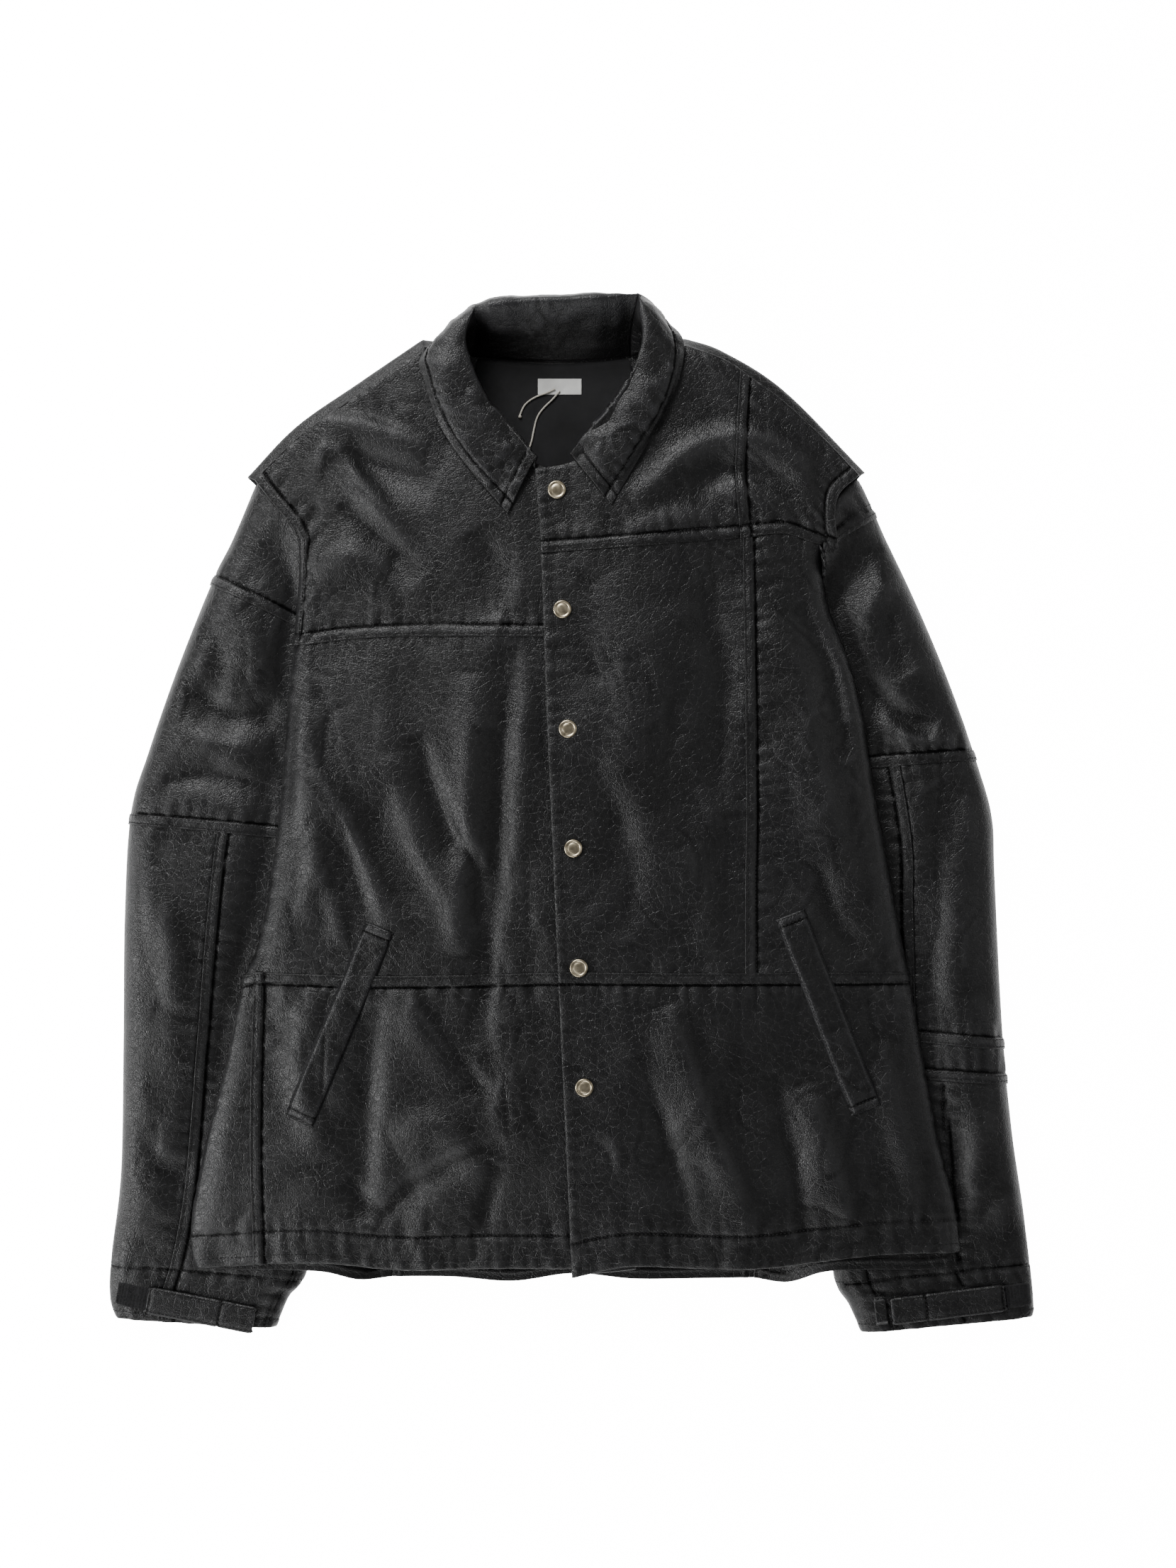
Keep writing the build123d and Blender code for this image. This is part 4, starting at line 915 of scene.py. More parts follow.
def ride_back(name, flat, edges, nodes, seed):
    """A panel of the back, whose outer face looks down."""
    x, y = flat[..., 0], flat[..., 1]
    relief = 0.35 * np.abs(crumple(x, y, seed, 1.3)) * step((np.abs(x) - 60) / 200)
    grid = np.dstack([flat, back_level(x) + relief])[:, ::-1]
    piece = sew(name, grid, edges, LEATHER, seed=seed, pucker=0.12, thickness=1.1,
                bands=[("left", 7), ("right", 7), ("bottom", 27), ("bottom", 7)])
    place(piece, nodes, "jacket_body")


BACK_HEM = HEM - 3.5
DROOP = [(-330, BACK_HEM), (-215, BACK_HEM - 1), (-180, BACK_HEM - 10), (-120, BACK_HEM - 7), (-60, BACK_HEM - 13), (0, BACK_HEM - 6),
         (70, BACK_HEM - 12), (130, BACK_HEM - 8), (180, BACK_HEM - 12), (215, BACK_HEM - 1), (330, BACK_HEM)]


def back_hem(start, end, count=7):
    """The back's wavy bottom edge between two x places."""
    line = curve(DROOP, np.linspace(0, 1, 90))
    return [(float(x), float(np.interp(x, line[:, 0], line[:, 1]))) for x in np.linspace(start, end, count)]


BACK_YOKE = box("back_centre_panel")[1][1]
BACK_HALF = box("back_centre_panel")[1][0]
ride_back("back_centre", patch(
    [(-BACK_HALF, BACK_YOKE), (BACK_HALF, BACK_YOKE)], back_hem(-BACK_HALF, BACK_HALF),
    [(-BACK_HALF, BACK_YOKE), back_hem(-BACK_HALF, 0)[0]],
    [(BACK_HALF, BACK_YOKE), back_hem(0, BACK_HALF)[-1]], 4.0),
    dict(top="none", bottom="none"), ["back_centre_panel"], 300)
for name, outline, half, way in (("left", LEFT_SIDE, BACK_HALF, 1), ("right", RIGHT_SIDE, -BACK_HALF, -1)):
    outer = [(across(outline, y) - way * 1.5, y) for y in np.linspace(222, BACK_HEM + 3, 9)]
    bottom = back_hem(half + way * 0.6, outer[-1][0])
    inner_edge = [(half + way * 0.6, 220), bottom[0]]
    near, far = (inner_edge, outer) if way > 0 else (outer, inner_edge)
    bottom[-1] = outer[-1]
    ride_back(f"back_{name}_side", patch([near[0], far[0]], bottom[::way], near, far, 4.0),
              dict(top="none"), [f"back_{name}_side_panel"], 320 if way > 0 else 340)

# %% back yoke
neck_seam = [(-122, 388, 33), (-108, 389, 20), (-84, 394, 5), (-50, 386, 3), (-15, 382, 2.6), (20, 386, 3), (50, 395, 5),
             (76, 386, 24), (91, 388, 42)]
seam_row = [[(*RIGHT_TIP, 27), (-222, 317, 29.5), (-172, 352, 32.5), (-122, 388, 33)], neck_seam,
            [(91, 388, 42), (120, 376, 41), (168, 344, 38.5), (*LEFT_TIP, 34)]]
bulge_row = [[(-268, 283, 20), (-228, 324, 22), (-176, 360, 24), (-124, 395, 25)],
             [(-124, 395, 25), (-108, 396, 13), (-84, 400, 3.6), (-15, 381.5, 1.5), (50, 401, 3.6), (78, 398, 16), (93, 395, 30)],
             [(93, 395, 30), (124, 384, 31), (174, 352, 30), (240, 286, 25)]]
low_row = [[(-262, 277, 9), (-222, 316, 8), (-172, 350, 7), (-121, 384, 6)], [(-121, 384, 6), (-84, 384, 1.2), (-15, 376, 0.9), (50, 384, 1.2), (90, 384, 7)],
           [(90, 384, 7), (120, 372, 9), (168, 341, 10), (233, 279, 12)]]
floor_row = [[(-215, 232, 13), (-172, 262, 3), (-120, 300, 0.8)], [(-120, 300, 0.8), (-15, 300, 0.6), (95, 300, 0.8)],
             [(95, 300, 0.8), (150, 262, 3), (205, 232, 13)]]
last_row = [[(-206, 224, 15), (-172, 224, 6), (-120, 226, 0.7)], [(-120, 226, 0.7), (-15, 226, 0.6), (95, 226, 0.7)],
            [(95, 226, 0.7), (168, 224, 5), (200, 224, 14)]]
yoke_grid = net([seam_row, bulge_row, low_row, floor_row, last_row], 560, 200, 3.5)
x, y, _ = np.moveaxis(yoke_grid, -1, 0)
clear_of_neck = step(runs(yoke_grid)["top"] / 30) * step((np.abs(x + 15) - 80) / 60)
yoke_grid[..., 2] += 0.5 * np.abs(crumple(x, y, 360, 1.0)) * clear_of_neck
place(sew("back_yoke_shell", yoke_grid[:, ::-1], dict(top="none"), LEATHER, seed=360, thickness=1.2,
          bands=[("bottom", 6)], pucker=0.12), ["back_yoke"], "jacket_body")

# %% [markdown]
# ## Sleeves
# A sleeve laid flat is a tube pressed down: rounded along both edges and nearly level between. It is
# thinner where the body lies on it. Every sleeve panel is a part of the same tube, found from two shares:
# one along the sleeve and one across it from the outer edge.

# %% sleeve lines
RIGHT_SLEEVE = dict(
    side=-1, crown_seed=400,
    outer=[(-261, 280), (-283, 231), (-300, 196), (-328, 126), (-352, 57), (-367, 5), (-372, -82),
           (-373, -180), (-375, -291), (-383, -361), (-384, -396), (-379, -412)],
    inner=[(-214, 212), (-206, 168), (-204, 90), (-204, -20), (-207, -150), (-212, -260), (-219, -366),
           (-236, -396), (-246, -420)],
)
LEFT_SLEEVE = dict(
    side=1, crown_seed=440,
    outer=[(234, 283), (252, 248), (285, 179), (314, 109), (338, 39), (348, 0), (350, -48), (356, -169),
           (364, -256), (374, -326), (382, -396), (381, -411)],
    inner=[(207, 214), (204, 170), (202, 100), (200, 36), (203, -80), (209, -190), (214, -300), (216, -376),
           (229, -402), (239, -424)],
)
RIGHT_SLEEVE_FOLDS = [
    ([(-322, 112), (-285, 86), (-240, 92)], -4.0, 11, 16), ([(-338, 70), (-300, 64), (-246, 60)], 3.6, 12, 14),
    ([(-350, 20), (-305, 38), (-250, 24)], -3.2, 9, 13), ([(-285, 190), (-262, 140), (-248, 100)], 3.4, 11, 14),
    ([(-306, 170), (-292, 130), (-300, 96)], -2.4, 9, 12), ([(-355, -40), (-330, -120), (-340, -220)], 3.0, 14, 14),
    ([(-262, -40), (-270, -130), (-296, -240)], -2.6, 12, 14), ([(-360, -260), (-330, -290), (-290, -280)], -2.4, 8, 10),
    ([(-368, -330), (-335, -345), (-300, -330)], 2.2, 8, 10), ([(-345, -150), (-318, -165), (-285, -150)], -1.8, 8, 10),
]
LEFT_SLEEVE_FOLDS = [
    ([(240, 118), (262, 92), (300, 78)], -4.6, 9, 15), ([(248, 96), (276, 66), (318, 66)], 4.4, 9, 12),
    ([(236, 160), (255, 190), (250, 222)], 3.0, 11, 14), ([(268, 190), (262, 150), (276, 120)], -2.6, 10, 12),
    ([(256, 60), (285, 58), (322, 54)], -2.2, 6, 10), ([(330, 20), (318, -60), (326, -140)], 3.2, 14, 14),
    ([(296, 0), (300, -90), (292, -160)], -2.2, 9, 12), ([(345, -240), (326, -300), (338, -360)], 2.6, 12, 12),
    ([(312, -235), (318, -290), (308, -340)], -2.2, 9, 12), ([(360, -300), (338, -320), (318, -312)], -2.0, 8, 9),
]
ROLL_Z = 5.2
SLEEVE_LENGTH = 715
SLEEVE_WIDTH = 150


def sleeve_plan(sleeve, v, s):
    """Plan position of a sleeve's point, at share v along it and share s across it, and its distances
    from the outer and the inner edge. The top end bulges into the armhole."""
    a, b = walk(sleeve["outer"], v.ravel()), walk(sleeve["inner"], v.ravel())
    s = s.reshape(-1, 1)
    plan = a + (b - a) * s
    width = np.linalg.norm(b - a, axis=1)
    bulge = 15 * np.sin(pi * s[:, 0]) * np.clip(1 - v.ravel() * SLEEVE_LENGTH / 60, 0, 1)
    plan[:, 0] -= sleeve["side"] * bulge
    out, inn = (width * s[:, 0]).reshape(v.shape), (width * (1 - s[:, 0])).reshape(v.shape)
    return plan.reshape(*v.shape, 2), out, inn


def sleeve_top(sleeve, v, s):
    """Upper sheet: an elliptical roll along each edge, and between them a level that is lower under the
    body and rises to the body at the armhole."""
    plan, out, inn = sleeve_plan(sleeve, v, s)
    x, y = plan[..., 0], plan[..., 1]
    side = sleeve["side"]
    edge = side * across(LEFT_SIDE if side > 0 else RIGHT_SIDE, np.clip(y, HEM, 212))
    clear = np.abs(x) - edge
    near = 1 - step(v * SLEEVE_LENGTH / 62)
    cuff = step((y + 350) / 40)
    level = SLEEVE_TOP + 0.4 + 5.5 * step((clear - 3) / 34) * cuff
    body = crown(x, side)
    under = SLEEVE_TOP + 0.4 + (body - 3.5 - SLEEVE_TOP) * step((y - 196) / 40)
    under = np.minimum(body - 3.5, under)
    level = np.where(clear < 3, np.minimum(level, under), level)
    level = level + (body - 0.8 - level) * near * step((clear + 12) / 14)
    start = ROLL_Z + (body - 14 - ROLL_Z) * near
    folds = sum(fold(x, y, *f) for f in (RIGHT_SLEEVE_FOLDS if side < 0 else LEFT_SLEEVE_FOLDS))
    free = step(out / 26) * step((clear - 2) / 16) * step(v * SLEEVE_LENGTH / 16)
    relief = (folds + 0.8 * crumple(x, y, sleeve["crown_seed"], 1.2)) * free * (0.35 + 0.65 * cuff)
    roll_in = rounded(inn, 20)
    roll_in = roll_in + (1 - roll_in) * (1 - step(v * SLEEVE_LENGTH / 34))
    roll = rounded(out, 24) * roll_in
    edge_wave = 1.2 * noise(v * 22, s * 0, sleeve["crown_seed"] + 9) * (1 - step(out / 20))
    return np.dstack([plan, start + (level - start) * roll + relief + edge_wave * roll])


def sleeve_under(sleeve, v, s):
    """Lower sheet: curves in from both edges down to the table."""
    plan, out, inn = sleeve_plan(sleeve, v, s)
    near = 1 - step(v * SLEEVE_LENGTH / 62)
    start = ROLL_Z + (crown(plan[..., 0], sleeve["side"]) - 14 - ROLL_Z) * near
    roll = rounded(out, 13) * rounded(inn, 13)
    floor_level = 0.4 + 7 * near
    return np.dstack([plan, start - 0.3 + (floor_level - start) * roll])


# %% sleeve panels
def shares(v_top, v_bottom, s_left, s_right, pitch=2.2):
    """A grid of sleeve shares between two cross seams, each given by its share at the outer and at the
    inner edge, and two lengthwise seams, each given by its share across at its top and bottom."""
    tall = SLEEVE_LENGTH * (np.mean(v_bottom) - np.mean(v_top))
    wide = SLEEVE_WIDTH * (np.mean(s_right) - np.mean(s_left))
    a, b = np.meshgrid(spread(tall, pitch), spread(wide, pitch), indexing="ij")
    left = s_left[0] + (s_left[1] - s_left[0]) * a
    right = s_right[0] + (s_right[1] - s_right[0]) * a
    s = left * (1 - b) + right * b
    top = v_top[0] + (v_top[1] - v_top[0]) * s
    bottom = v_bottom[0] + (v_bottom[1] - v_bottom[0]) * s
    return top + (bottom - top) * a, s


def share_at(line, y):
    """Share along a sleeve edge at height y."""
    t = np.linspace(0, 1, 400)
    return float(np.interp(-y, -walk(line, t)[:, 1], t))


SWAP = dict(left="right", right="left")


def armhole(side):
    """Where a sleeve's bend starts and ends, on a line across the armhole."""
    return dict(start=(side * 0.232, 0.255, 0.02), end=(side * 0.292, 0.185, 0.02))


def sleeve_piece(name, sleeve, top, bottom, left, right, edges, node, seed, bends=False, bands=()):
    """A sleeve panel between heights (outer, inner) of its top and bottom seams and shares across of
    its two lengthwise seams."""
    v_top = [share_at(sleeve["outer"], top[0]), share_at(sleeve["inner"], top[1])]
    v_bottom = [share_at(sleeve["outer"], bottom[0]), share_at(sleeve["inner"], bottom[1])]
    side = sleeve["side"]
    grid = sleeve_top(sleeve, *shares(v_top, v_bottom, left, right))
    if side > 0:
        grid = grid[:, ::-1]
        edges = {SWAP.get(k, k): e for k, e in edges.items()}
        bands = [(SWAP.get(k, k), at) for k, at in bands]
    piece = sew(name, grid, edges, LEATHER, seed=seed, bands=bands)
    body = "right_sleeve" if side < 0 else "left_sleeve"
    if bends:
        place(piece, [node], "jacket_body", body, **armhole(side))
    else:
        place(piece, [node], body)


LAP = dict(top="under", bottom="over")
CUFF = dict(top="under", bottom="free")
HEM_ROW = ("bottom", 44)
WHOLE = (0, 0), (1, 1)
sleeve_piece("right_cap", RIGHT_SLEEVE, (281, 214), (195, 148), *WHOLE, LAP, "right_sleeve_cap", 400, True)
sleeve_piece("right_upper_arm", RIGHT_SLEEVE, (201, 154), (-3, -19), *WHOLE, LAP, "right_upper_sleeve", 410,
             True)
sleeve_piece("right_forearm_front", RIGHT_SLEEVE, (3, -13), (-412, -420), (0, 0), (0.475, 0.32),
             dict(CUFF, right="under"), "right_forearm_outer", 420, bands=[HEM_ROW])
sleeve_piece("right_forearm_back", RIGHT_SLEEVE, (3, -13), (-412, -420), (0.455, 0.30), (1, 1),
             dict(CUFF, left="over"), "right_forearm_inner", 430,
             bands=[HEM_ROW, ("right", 11), ("right", 14.5)])
sleeve_piece("left_cap", LEFT_SLEEVE, (283, 216), (250, 206), *WHOLE, LAP, "left_sleeve_cap", 440, True)
sleeve_piece("left_upper_arm", LEFT_SLEEVE, (256, 212), (50, 38), *WHOLE, LAP, "left_upper_sleeve", 450, True)
sleeve_piece("left_forearm_front", LEFT_SLEEVE, (56, 44), (-189, -180), (0, 0), (0.47, 0.516),
             dict(LAP, right="under"), "left_forearm_outer", 460)
sleeve_piece("left_forearm_back", LEFT_SLEEVE, (56, 44), (-189, -180), (0.45, 0.495), (1, 1),
             dict(LAP, left="over"), "left_forearm_inner", 470)
sleeve_piece("left_band", LEFT_SLEEVE, (-183, -174), (-218, -212), *WHOLE, LAP, "left_forearm_band", 480)
sleeve_piece("left_lower_arm", LEFT_SLEEVE, (-212, -206), (-411, -424), *WHOLE, CUFF, "left_lower_sleeve", 490,
             bands=[HEM_ROW, ("left", 62), ("left", 65.5), ("right", 31), ("right", 34.5)])
for name, sleeve in (("right", RIGHT_SLEEVE), ("left", LEFT_SLEEVE)):
    v, s = np.meshgrid(np.linspace(0.005, 1, 150), np.linspace(0, 1, 48), indexing="ij")
    grid = sleeve_under(sleeve, v, s)[:, ::sleeve["side"]]
    under = sew(f"{name}_underarm", grid, dict(bottom="none"), LEATHER, seed=500, thickness=1.1,
                pucker=0.12, bands=[("left", 12), ("right", 12), HEM_ROW])
    place(under, [f"{name}_under_sleeve"], "jacket_body", f"{name}_sleeve", **armhole(sleeve["side"]))

# %% [markdown]
# ## The collar
# A shirt collar stands up from the neck seam, folds, and falls back over the fronts in two pointed leaves. It is padded
# and stiff, with a row of stitching 8 mm inside its edge. The two leaves are left where they lie, attached to nothing;
# the back of the collar rides on the body.

# %% collar
collar_right = [
    [(-30, 289, 38), (-60, 312, 37.5), (-88, 338, 37), (-104, 366, 35), (-96, 388, 22), (-84, 385, 4)],
    [(-30, 294, 41), (-54, 317, 42), (-76, 340, 43), (-90, 368, 42), (-88, 396, 31), (-80, 400, 21)],
    [(-29, 297, 43), (-48, 320, 45.5), (-70, 343, 47), (-83, 370, 49), (-87, 394, 49), (-80, 415, 48)],
    [(-34, 290, 43.5), (-60, 306, 46), (-84, 331, 48), (-97, 365, 50), (-99, 396, 49), (-80, 421, 46)],
    [(-43, 272, 43), (-70, 287, 44), (-97, 318, 46), (-113, 360, 48), (-115, 387, 44), (-86, 421, 32)],
    [(-53, 251.5, 41.5), (-84, 287, 41.5), (-107, 320, 42), (-121, 358, 42.5), (-123.5, 381, 38), (-91, 416, 20)],
]
collar_left = [
    [(4, 293, 44.5), (34, 315, 44.4), (60, 340, 44), (78, 366, 42), (70, 388, 28), (48, 385, 4)],
    [(2, 296, 47), (24, 320, 48), (44, 343, 49), (60, 370, 48), (62, 398, 36), (48, 402, 22)],
    [(-2, 299, 48), (17, 322, 50.5), (36, 344, 53), (50, 370, 55), (58, 398, 54), (53, 425, 50)],
    [(4, 292, 48.8), (27, 308, 51), (50, 332, 54), (64, 368, 56), (70, 400, 54), (55, 429, 47)],
    [(17, 276, 49.4), (40, 290, 49.6), (66, 324, 51), (80, 360, 53), (84, 392, 49), (66, 424, 33)],
    [(32, 258, 48.1), (55, 297, 47.6), (76, 335, 47.5), (88, 365, 48), (89.5, 394, 44), (70, 416, 22)],
]
collar_back = [
    [(-84, 385, 4), (-50, 382, 4), (-15, 381, 4), (20, 382, 4), (48, 385, 4)],
    [(-80, 400, 21), (-50, 396, 22), (-15, 396, 22), (20, 398, 22), (48, 402, 22)],
    [(-80, 415, 48), (-50, 418, 47.5), (-15, 420, 48), (20, 422, 49), (53, 425, 50)],
    [(-80, 421, 46), (-50, 424.5, 46), (-15, 426, 46), (20, 428, 46.5), (55, 429, 47)],
    [(-86, 421, 32), (-50, 427, 30), (-15, 429, 30), (20, 430, 31), (66, 424, 33)],
    [(-91, 416, 20), (-50, 424, 9), (-15, 427, 8), (20, 427, 9), (70, 416, 22)],
]


def collar_piece(name, rows, seed, length, nodes, open_sides=("left", "right")):
    """One part of the collar from its rows: neck seam, stand, fold, and three rows of the fall. Its
    relief fades at the sides where the next part joins."""
    grid = net(rows, length, 105, 2.0, (False, True, True, False))
    if name != "left_leaf":
        grid = grid[:, ::-1]
    d = runs(grid)
    x, y = grid[..., 0], grid[..., 1]
    puff = 1.3 * step(d["bottom"] / 14) * step((d["top"] - 20) / 20)
    waves = 0.8 * crumple(x * 1.9, y * 1.9, seed, 1.0) * step(d["top"] / 18) * step(d["bottom"] / 10)
    drawn = puckers(d["left"], d["bottom"] - 8.5, seed + 5, size=0.9, pitch=8)
    relief = puff + waves + drawn * step(d["bottom"] / 6) * step(d["top"] / 20)
    for end in open_sides:
        relief = relief * step(d[end] / 14)
    grid = grid + normals(grid) * relief[..., None]
    bands = [("bottom", 8.4)] + [(SWAP[end], 8.4) for end in open_sides if len(open_sides) == 1]
    piece = sew(name, grid, dict(top="none"), TRIM_LEATHER, seed=seed, thickness=2.2, bands=bands,
                pucker=0.25)
    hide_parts(*nodes)
    return piece


leaf = collar_piece("right_leaf", collar_right, 600, 190, ["right_collar_leaf", "right_under_collar"], ["left"])
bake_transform(leaf)
leaf = collar_piece("left_leaf", collar_left, 620, 190, ["left_collar_leaf", "left_under_collar"], ["right"])
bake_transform(leaf)
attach(collar_piece("collar_back_piece", collar_back, 640, 140, ["collar_stand_back", "collar_fall_back"]),
        "jacket_body")


# %% [markdown]
# ## Pocket welts
# Each slanted pocket has a folded leather strip sewn over its opening along one long edge and both
# ends. It lies on the front and follows it, a welt's thickness higher, with its corners turned square.

# %% welts
WELT_LENGTH, WELT_WIDTH, WELT_RISE = 173.0, 26.0, 2.3


def plane(xy, slant, across_it, along_it):
    """Plan positions of a slanted strip round its middle, from distances across and along it."""
    x = xy[0] + across_it * cos(slant) - along_it * sin(slant)
    return x, xy[1] + across_it * sin(slant) + along_it * cos(slant)


def welt(name, side, seed):
    """A strip over the CAD welt: its middle comes from the CAD box and its slant from the box's width."""
    low, high = box(name)
    wide = high[0] - low[0]
    slant = side * np.arcsin(np.clip((wide - WELT_WIDTH * 0.93) / WELT_LENGTH, 0, 1))
    a, b = np.meshgrid(spread(WELT_LENGTH, 2.0), spread(WELT_WIDTH, 1.3, (False, False)), indexing="ij")
    x, y = plane((low + high) / 2, slant, (b - 0.5) * WELT_WIDTH, (0.5 - a) * WELT_LENGTH)
    rim = np.minimum(np.minimum(a, 1 - a) * WELT_LENGTH, np.minimum(b, 1 - b) * WELT_WIDTH)
    sag = 0.8 * noise(a * 5, b * 1.5, seed) * step(rim / 6)
    z = front(x, y, side) + WELT_RISE * rounded(rim, 2.2) + sag + 0.15
    rows = [("left", 2.6), ("right", 2.6), ("top", 3.0), ("bottom", 3.0), ("top", 9.0), ("bottom", 9.0)]
    strip = sew(f"{name}_strip", np.dstack([x, y, z]), dict(top="none"), TRIM_LEATHER, seed=seed,
                thickness=1.2, pucker=0.3, bands=rows)
    place(strip, [name], "jacket_body")


welt("right_pocket_welt", -1, 700)
welt("left_pocket_welt", 1, 710)

# %% [markdown]
# ## Facings and linings
# Inside the fronts a leather facing backs the snaps, and black twill lines the rest. They follow the fronts a leather's
# thickness lower. The facings turn with the fronts, and the linings are left where they lie, attached to neither the
# front nor the body.

# %% inner sheets
FACING = 52
LINING_HEM = HEM + 25
OVERLAP = 31.5


def beside(line, shift, top, bottom):
    """A stretch of an outline moved sideways."""
    return [(x + shift, y) for x, y in upto(line, top, bottom)]


def inner(name, node, side, seed, flat, lining=True):
    """A sheet behind a front. A lining lies a little lower than a facing, clear of the seams."""
    grid = lay(flat, side)
    grid[..., 2] -= 1.5 + (0.55 if lining else 0.15)
    if lining:
        piece = sew(name, grid, dict(top="none"), LINING, slot="lining_cloth", seed=seed, thickness=0.6)
        bodies, between = RIGHT_BENDS if side < 0 else LEFT_BENDS
        place(piece, [node], *bodies, **between)
    else:
        piece = sew(name, grid, dict(top="none"), TRIM_LEATHER, seed=seed, thickness=1.1)
        place(piece, [node], "right_front" if side < 0 else "left_front")


inner("left_facing_strip", "left_facing", 1, 800, patch(
    [(-30, 285), (22, 285)], [(0, HEM - 4), (51, HEM + 1)],
    beside(PLACKET, 0.8, 285, HEM - 4), beside(PLACKET, FACING, 285, HEM + 1), 4), lining=False)
inner("right_facing_strip", "right_facing", -1, 810, patch(
    [(-49, 284), (0.5, 284)], [(-21, HEM + 1), (30, HEM + 1)],
    beside(PLACKET, 32 - FACING, 284, HEM + 1), beside(PLACKET, OVERLAP, 284, HEM + 1), 4), lining=False)
inner("left_lining_sheet", "left_lining_front", 1, 820, patch(
    [(22, 293), (62, 342), (91, 380)], [(50, LINING_HEM), (91.5, LINING_HEM)],
    beside(PLACKET, FACING + 0.5, 285, LINING_HEM), [(91.5, 380), (91.5, LINING_HEM)], 5))
inner("right_lining_sheet", "right_lining_front", -1, 830, patch(
    [(-126.5, 377), (-100, 335), (-49, 284)], [(-126.5, LINING_HEM), (-21, LINING_HEM)],
    [(-126.5, 377), (-126.5, LINING_HEM)], beside(PLACKET, OVERLAP - FACING, 284, LINING_HEM), 5))
inner("left_outer_lining_sheet", "left_outer_lining", 1, 840, patch(
    [(92.5, 327), (150, 290), (202, 205)], [(92.5, LINING_HEM), (300, LINING_HEM)],
    [(92.5, 327), (92.5, LINING_HEM)], [[(202, 205), (196, 170)], beside(LEFT_SIDE, -16, 170, LINING_HEM)], 5))
inner("right_outer_lining_sheet", "right_outer_lining", -1, 850, patch(
    [(-215, 215), (-180, 270), (-127.5, 327)], [(-294, LINING_HEM), (-127.5, LINING_HEM)],
    beside(RIGHT_SIDE, 16, 215, LINING_HEM), [(-127.5, 327), (-127.5, LINING_HEM)], 5))

# %% back lining
right_edge = [(-82, 384), (-86, 303), (-142, 214), (-142, HEM + 26)]
left_edge = [(50, 384), (54, 303), (142, 214), (142, HEM + 26)]
sides = ([list(pair) for pair in zip(edge, edge[1:])] for edge in (right_edge, left_edge))
flat = patch([(-82, 384), (-15, 379), (50, 384)], [(-142, HEM + 26), (142, HEM + 26)],
             *sides, 5, (False,) * 4)
x, y = flat[..., 0], flat[..., 1]
relief = 0.5 * np.abs(crumple(x, y, 860, 1.4)) * step((np.abs(x + 20) - 40) / 90) * step((300 - y) / 60)
relief += 1.3 * step((np.abs(x) - 60) / 50) * step((330 - y) / 60) + 0.9 * bell(y - BACK_YOKE - 6, 16)
place(sew("back_lining_sheet", np.dstack([flat, 2.2 + relief]), dict(top="none"), LINING,
          slot="lining_cloth", thickness=0.5), ["back_lining"], "jacket_body")

# %% pocket bags
BAG_WIDTH, BAG_LENGTH, BAG_DEPTH, BAG_HALF = 64, 150, 9.2, 1.5
bags = []
low, high = box("pocket_bags")
a, b = cells(60, 30)
for side in (-1, 1):
    x0 = high[0] - BAG_WIDTH if side > 0 else low[0]
    x, y = x0 + BAG_WIDTH * b, low[1] + (high[1] - low[1]) * (1 - a)
    rim = np.minimum(np.minimum(1.02 - a, 1.0) * BAG_LENGTH, np.minimum(b, 1 - b) * BAG_WIDTH)
    full = rounded(rim, 14)
    middle = crown(np.abs(x).max(), side) - BAG_DEPTH
    for way in (1, -1):
        z = middle + way * (BAG_HALF * full + 0.35) + 0.35 * noise(x / 22, y / 30, 870) * full
        bags.append(closed(np.dstack([x, y, z]), 0.45))
place(make("pocket_bag_pair", bags, POCKETING), ["pocket_bags"], "jacket_body")

# %% [markdown]
# ## Snaps
# A ring snap has a domed cap on the outside, spun from plated sheet: a rolled rim, a shallow channel
# and a plain centre. Its profile turned once round its axis gives the cap.


# %% snap caps
def turned(profile, centre, count=40):
    """A surface of revolution: profile points (radius, height) carried round the upright at centre."""
    r, h = np.array(profile).T[..., None]
    a = np.linspace(0, 2 * pi, count + 1)
    grid = np.stack([centre[0] + r * np.cos(a), centre[1] + r * np.sin(a), centre[2] + h + 0 * a], -1)
    return grid.reshape(-1, 3), quads(len(profile), count + 1)


CAP_RADIUS = 7.5
CAP_PROFILE = [(0.0, 2.05), (1.2, 2.05), (2.6, 2.0), (3.9, 1.88), (4.5, 1.62), (4.9, 1.5), (5.3, 1.62),
               (5.8, 1.95), (6.4, 2.08), (6.95, 1.95), (7.3, 1.6), (7.48, 1.1), (7.46, 0.6), (7.3, 0.2),
               (6.9, 0.0), (2.0, -0.1), (1.9, -2.6), (0.0, -2.6)]
low, high = box("snap_caps")
first = np.array([low[0] + CAP_RADIUS, high[1] - CAP_RADIUS])
last = np.array([high[0] - CAP_RADIUS, low[1] + CAP_RADIUS])
caps = [turned(CAP_PROFILE, (*spot, crown(spot[0], 1) + 0.1)) for spot in np.linspace(first, last, 6)]
cap_set = make("snap_cap_set", caps, SNAP_METAL)
merged = bmesh.new()
merged.from_mesh(cap_set.data)
bmesh.ops.remove_doubles(merged, verts=merged.verts, dist=1e-6)
bmesh.ops.recalc_face_normals(merged, faces=merged.faces)
merged.to_mesh(cap_set.data)
merged.free()
place(cap_set, ["snap_caps"], "left_front")

# %% [markdown]
# ## Cuff tabs
# A leather strap is sewn down near the inner edge of each cuff and holds by hook and loop. The loop side
# on the cuff is a fuzzy pile, made of many short bent hairs over a soft pad. A folded strip covers the
# left strap's root.

# %% strips on the cuffs
TAB_SLANT = dict(right=radians(11), left=radians(7))
LOOP_SPARE = 22.0
CORNER = 4.5


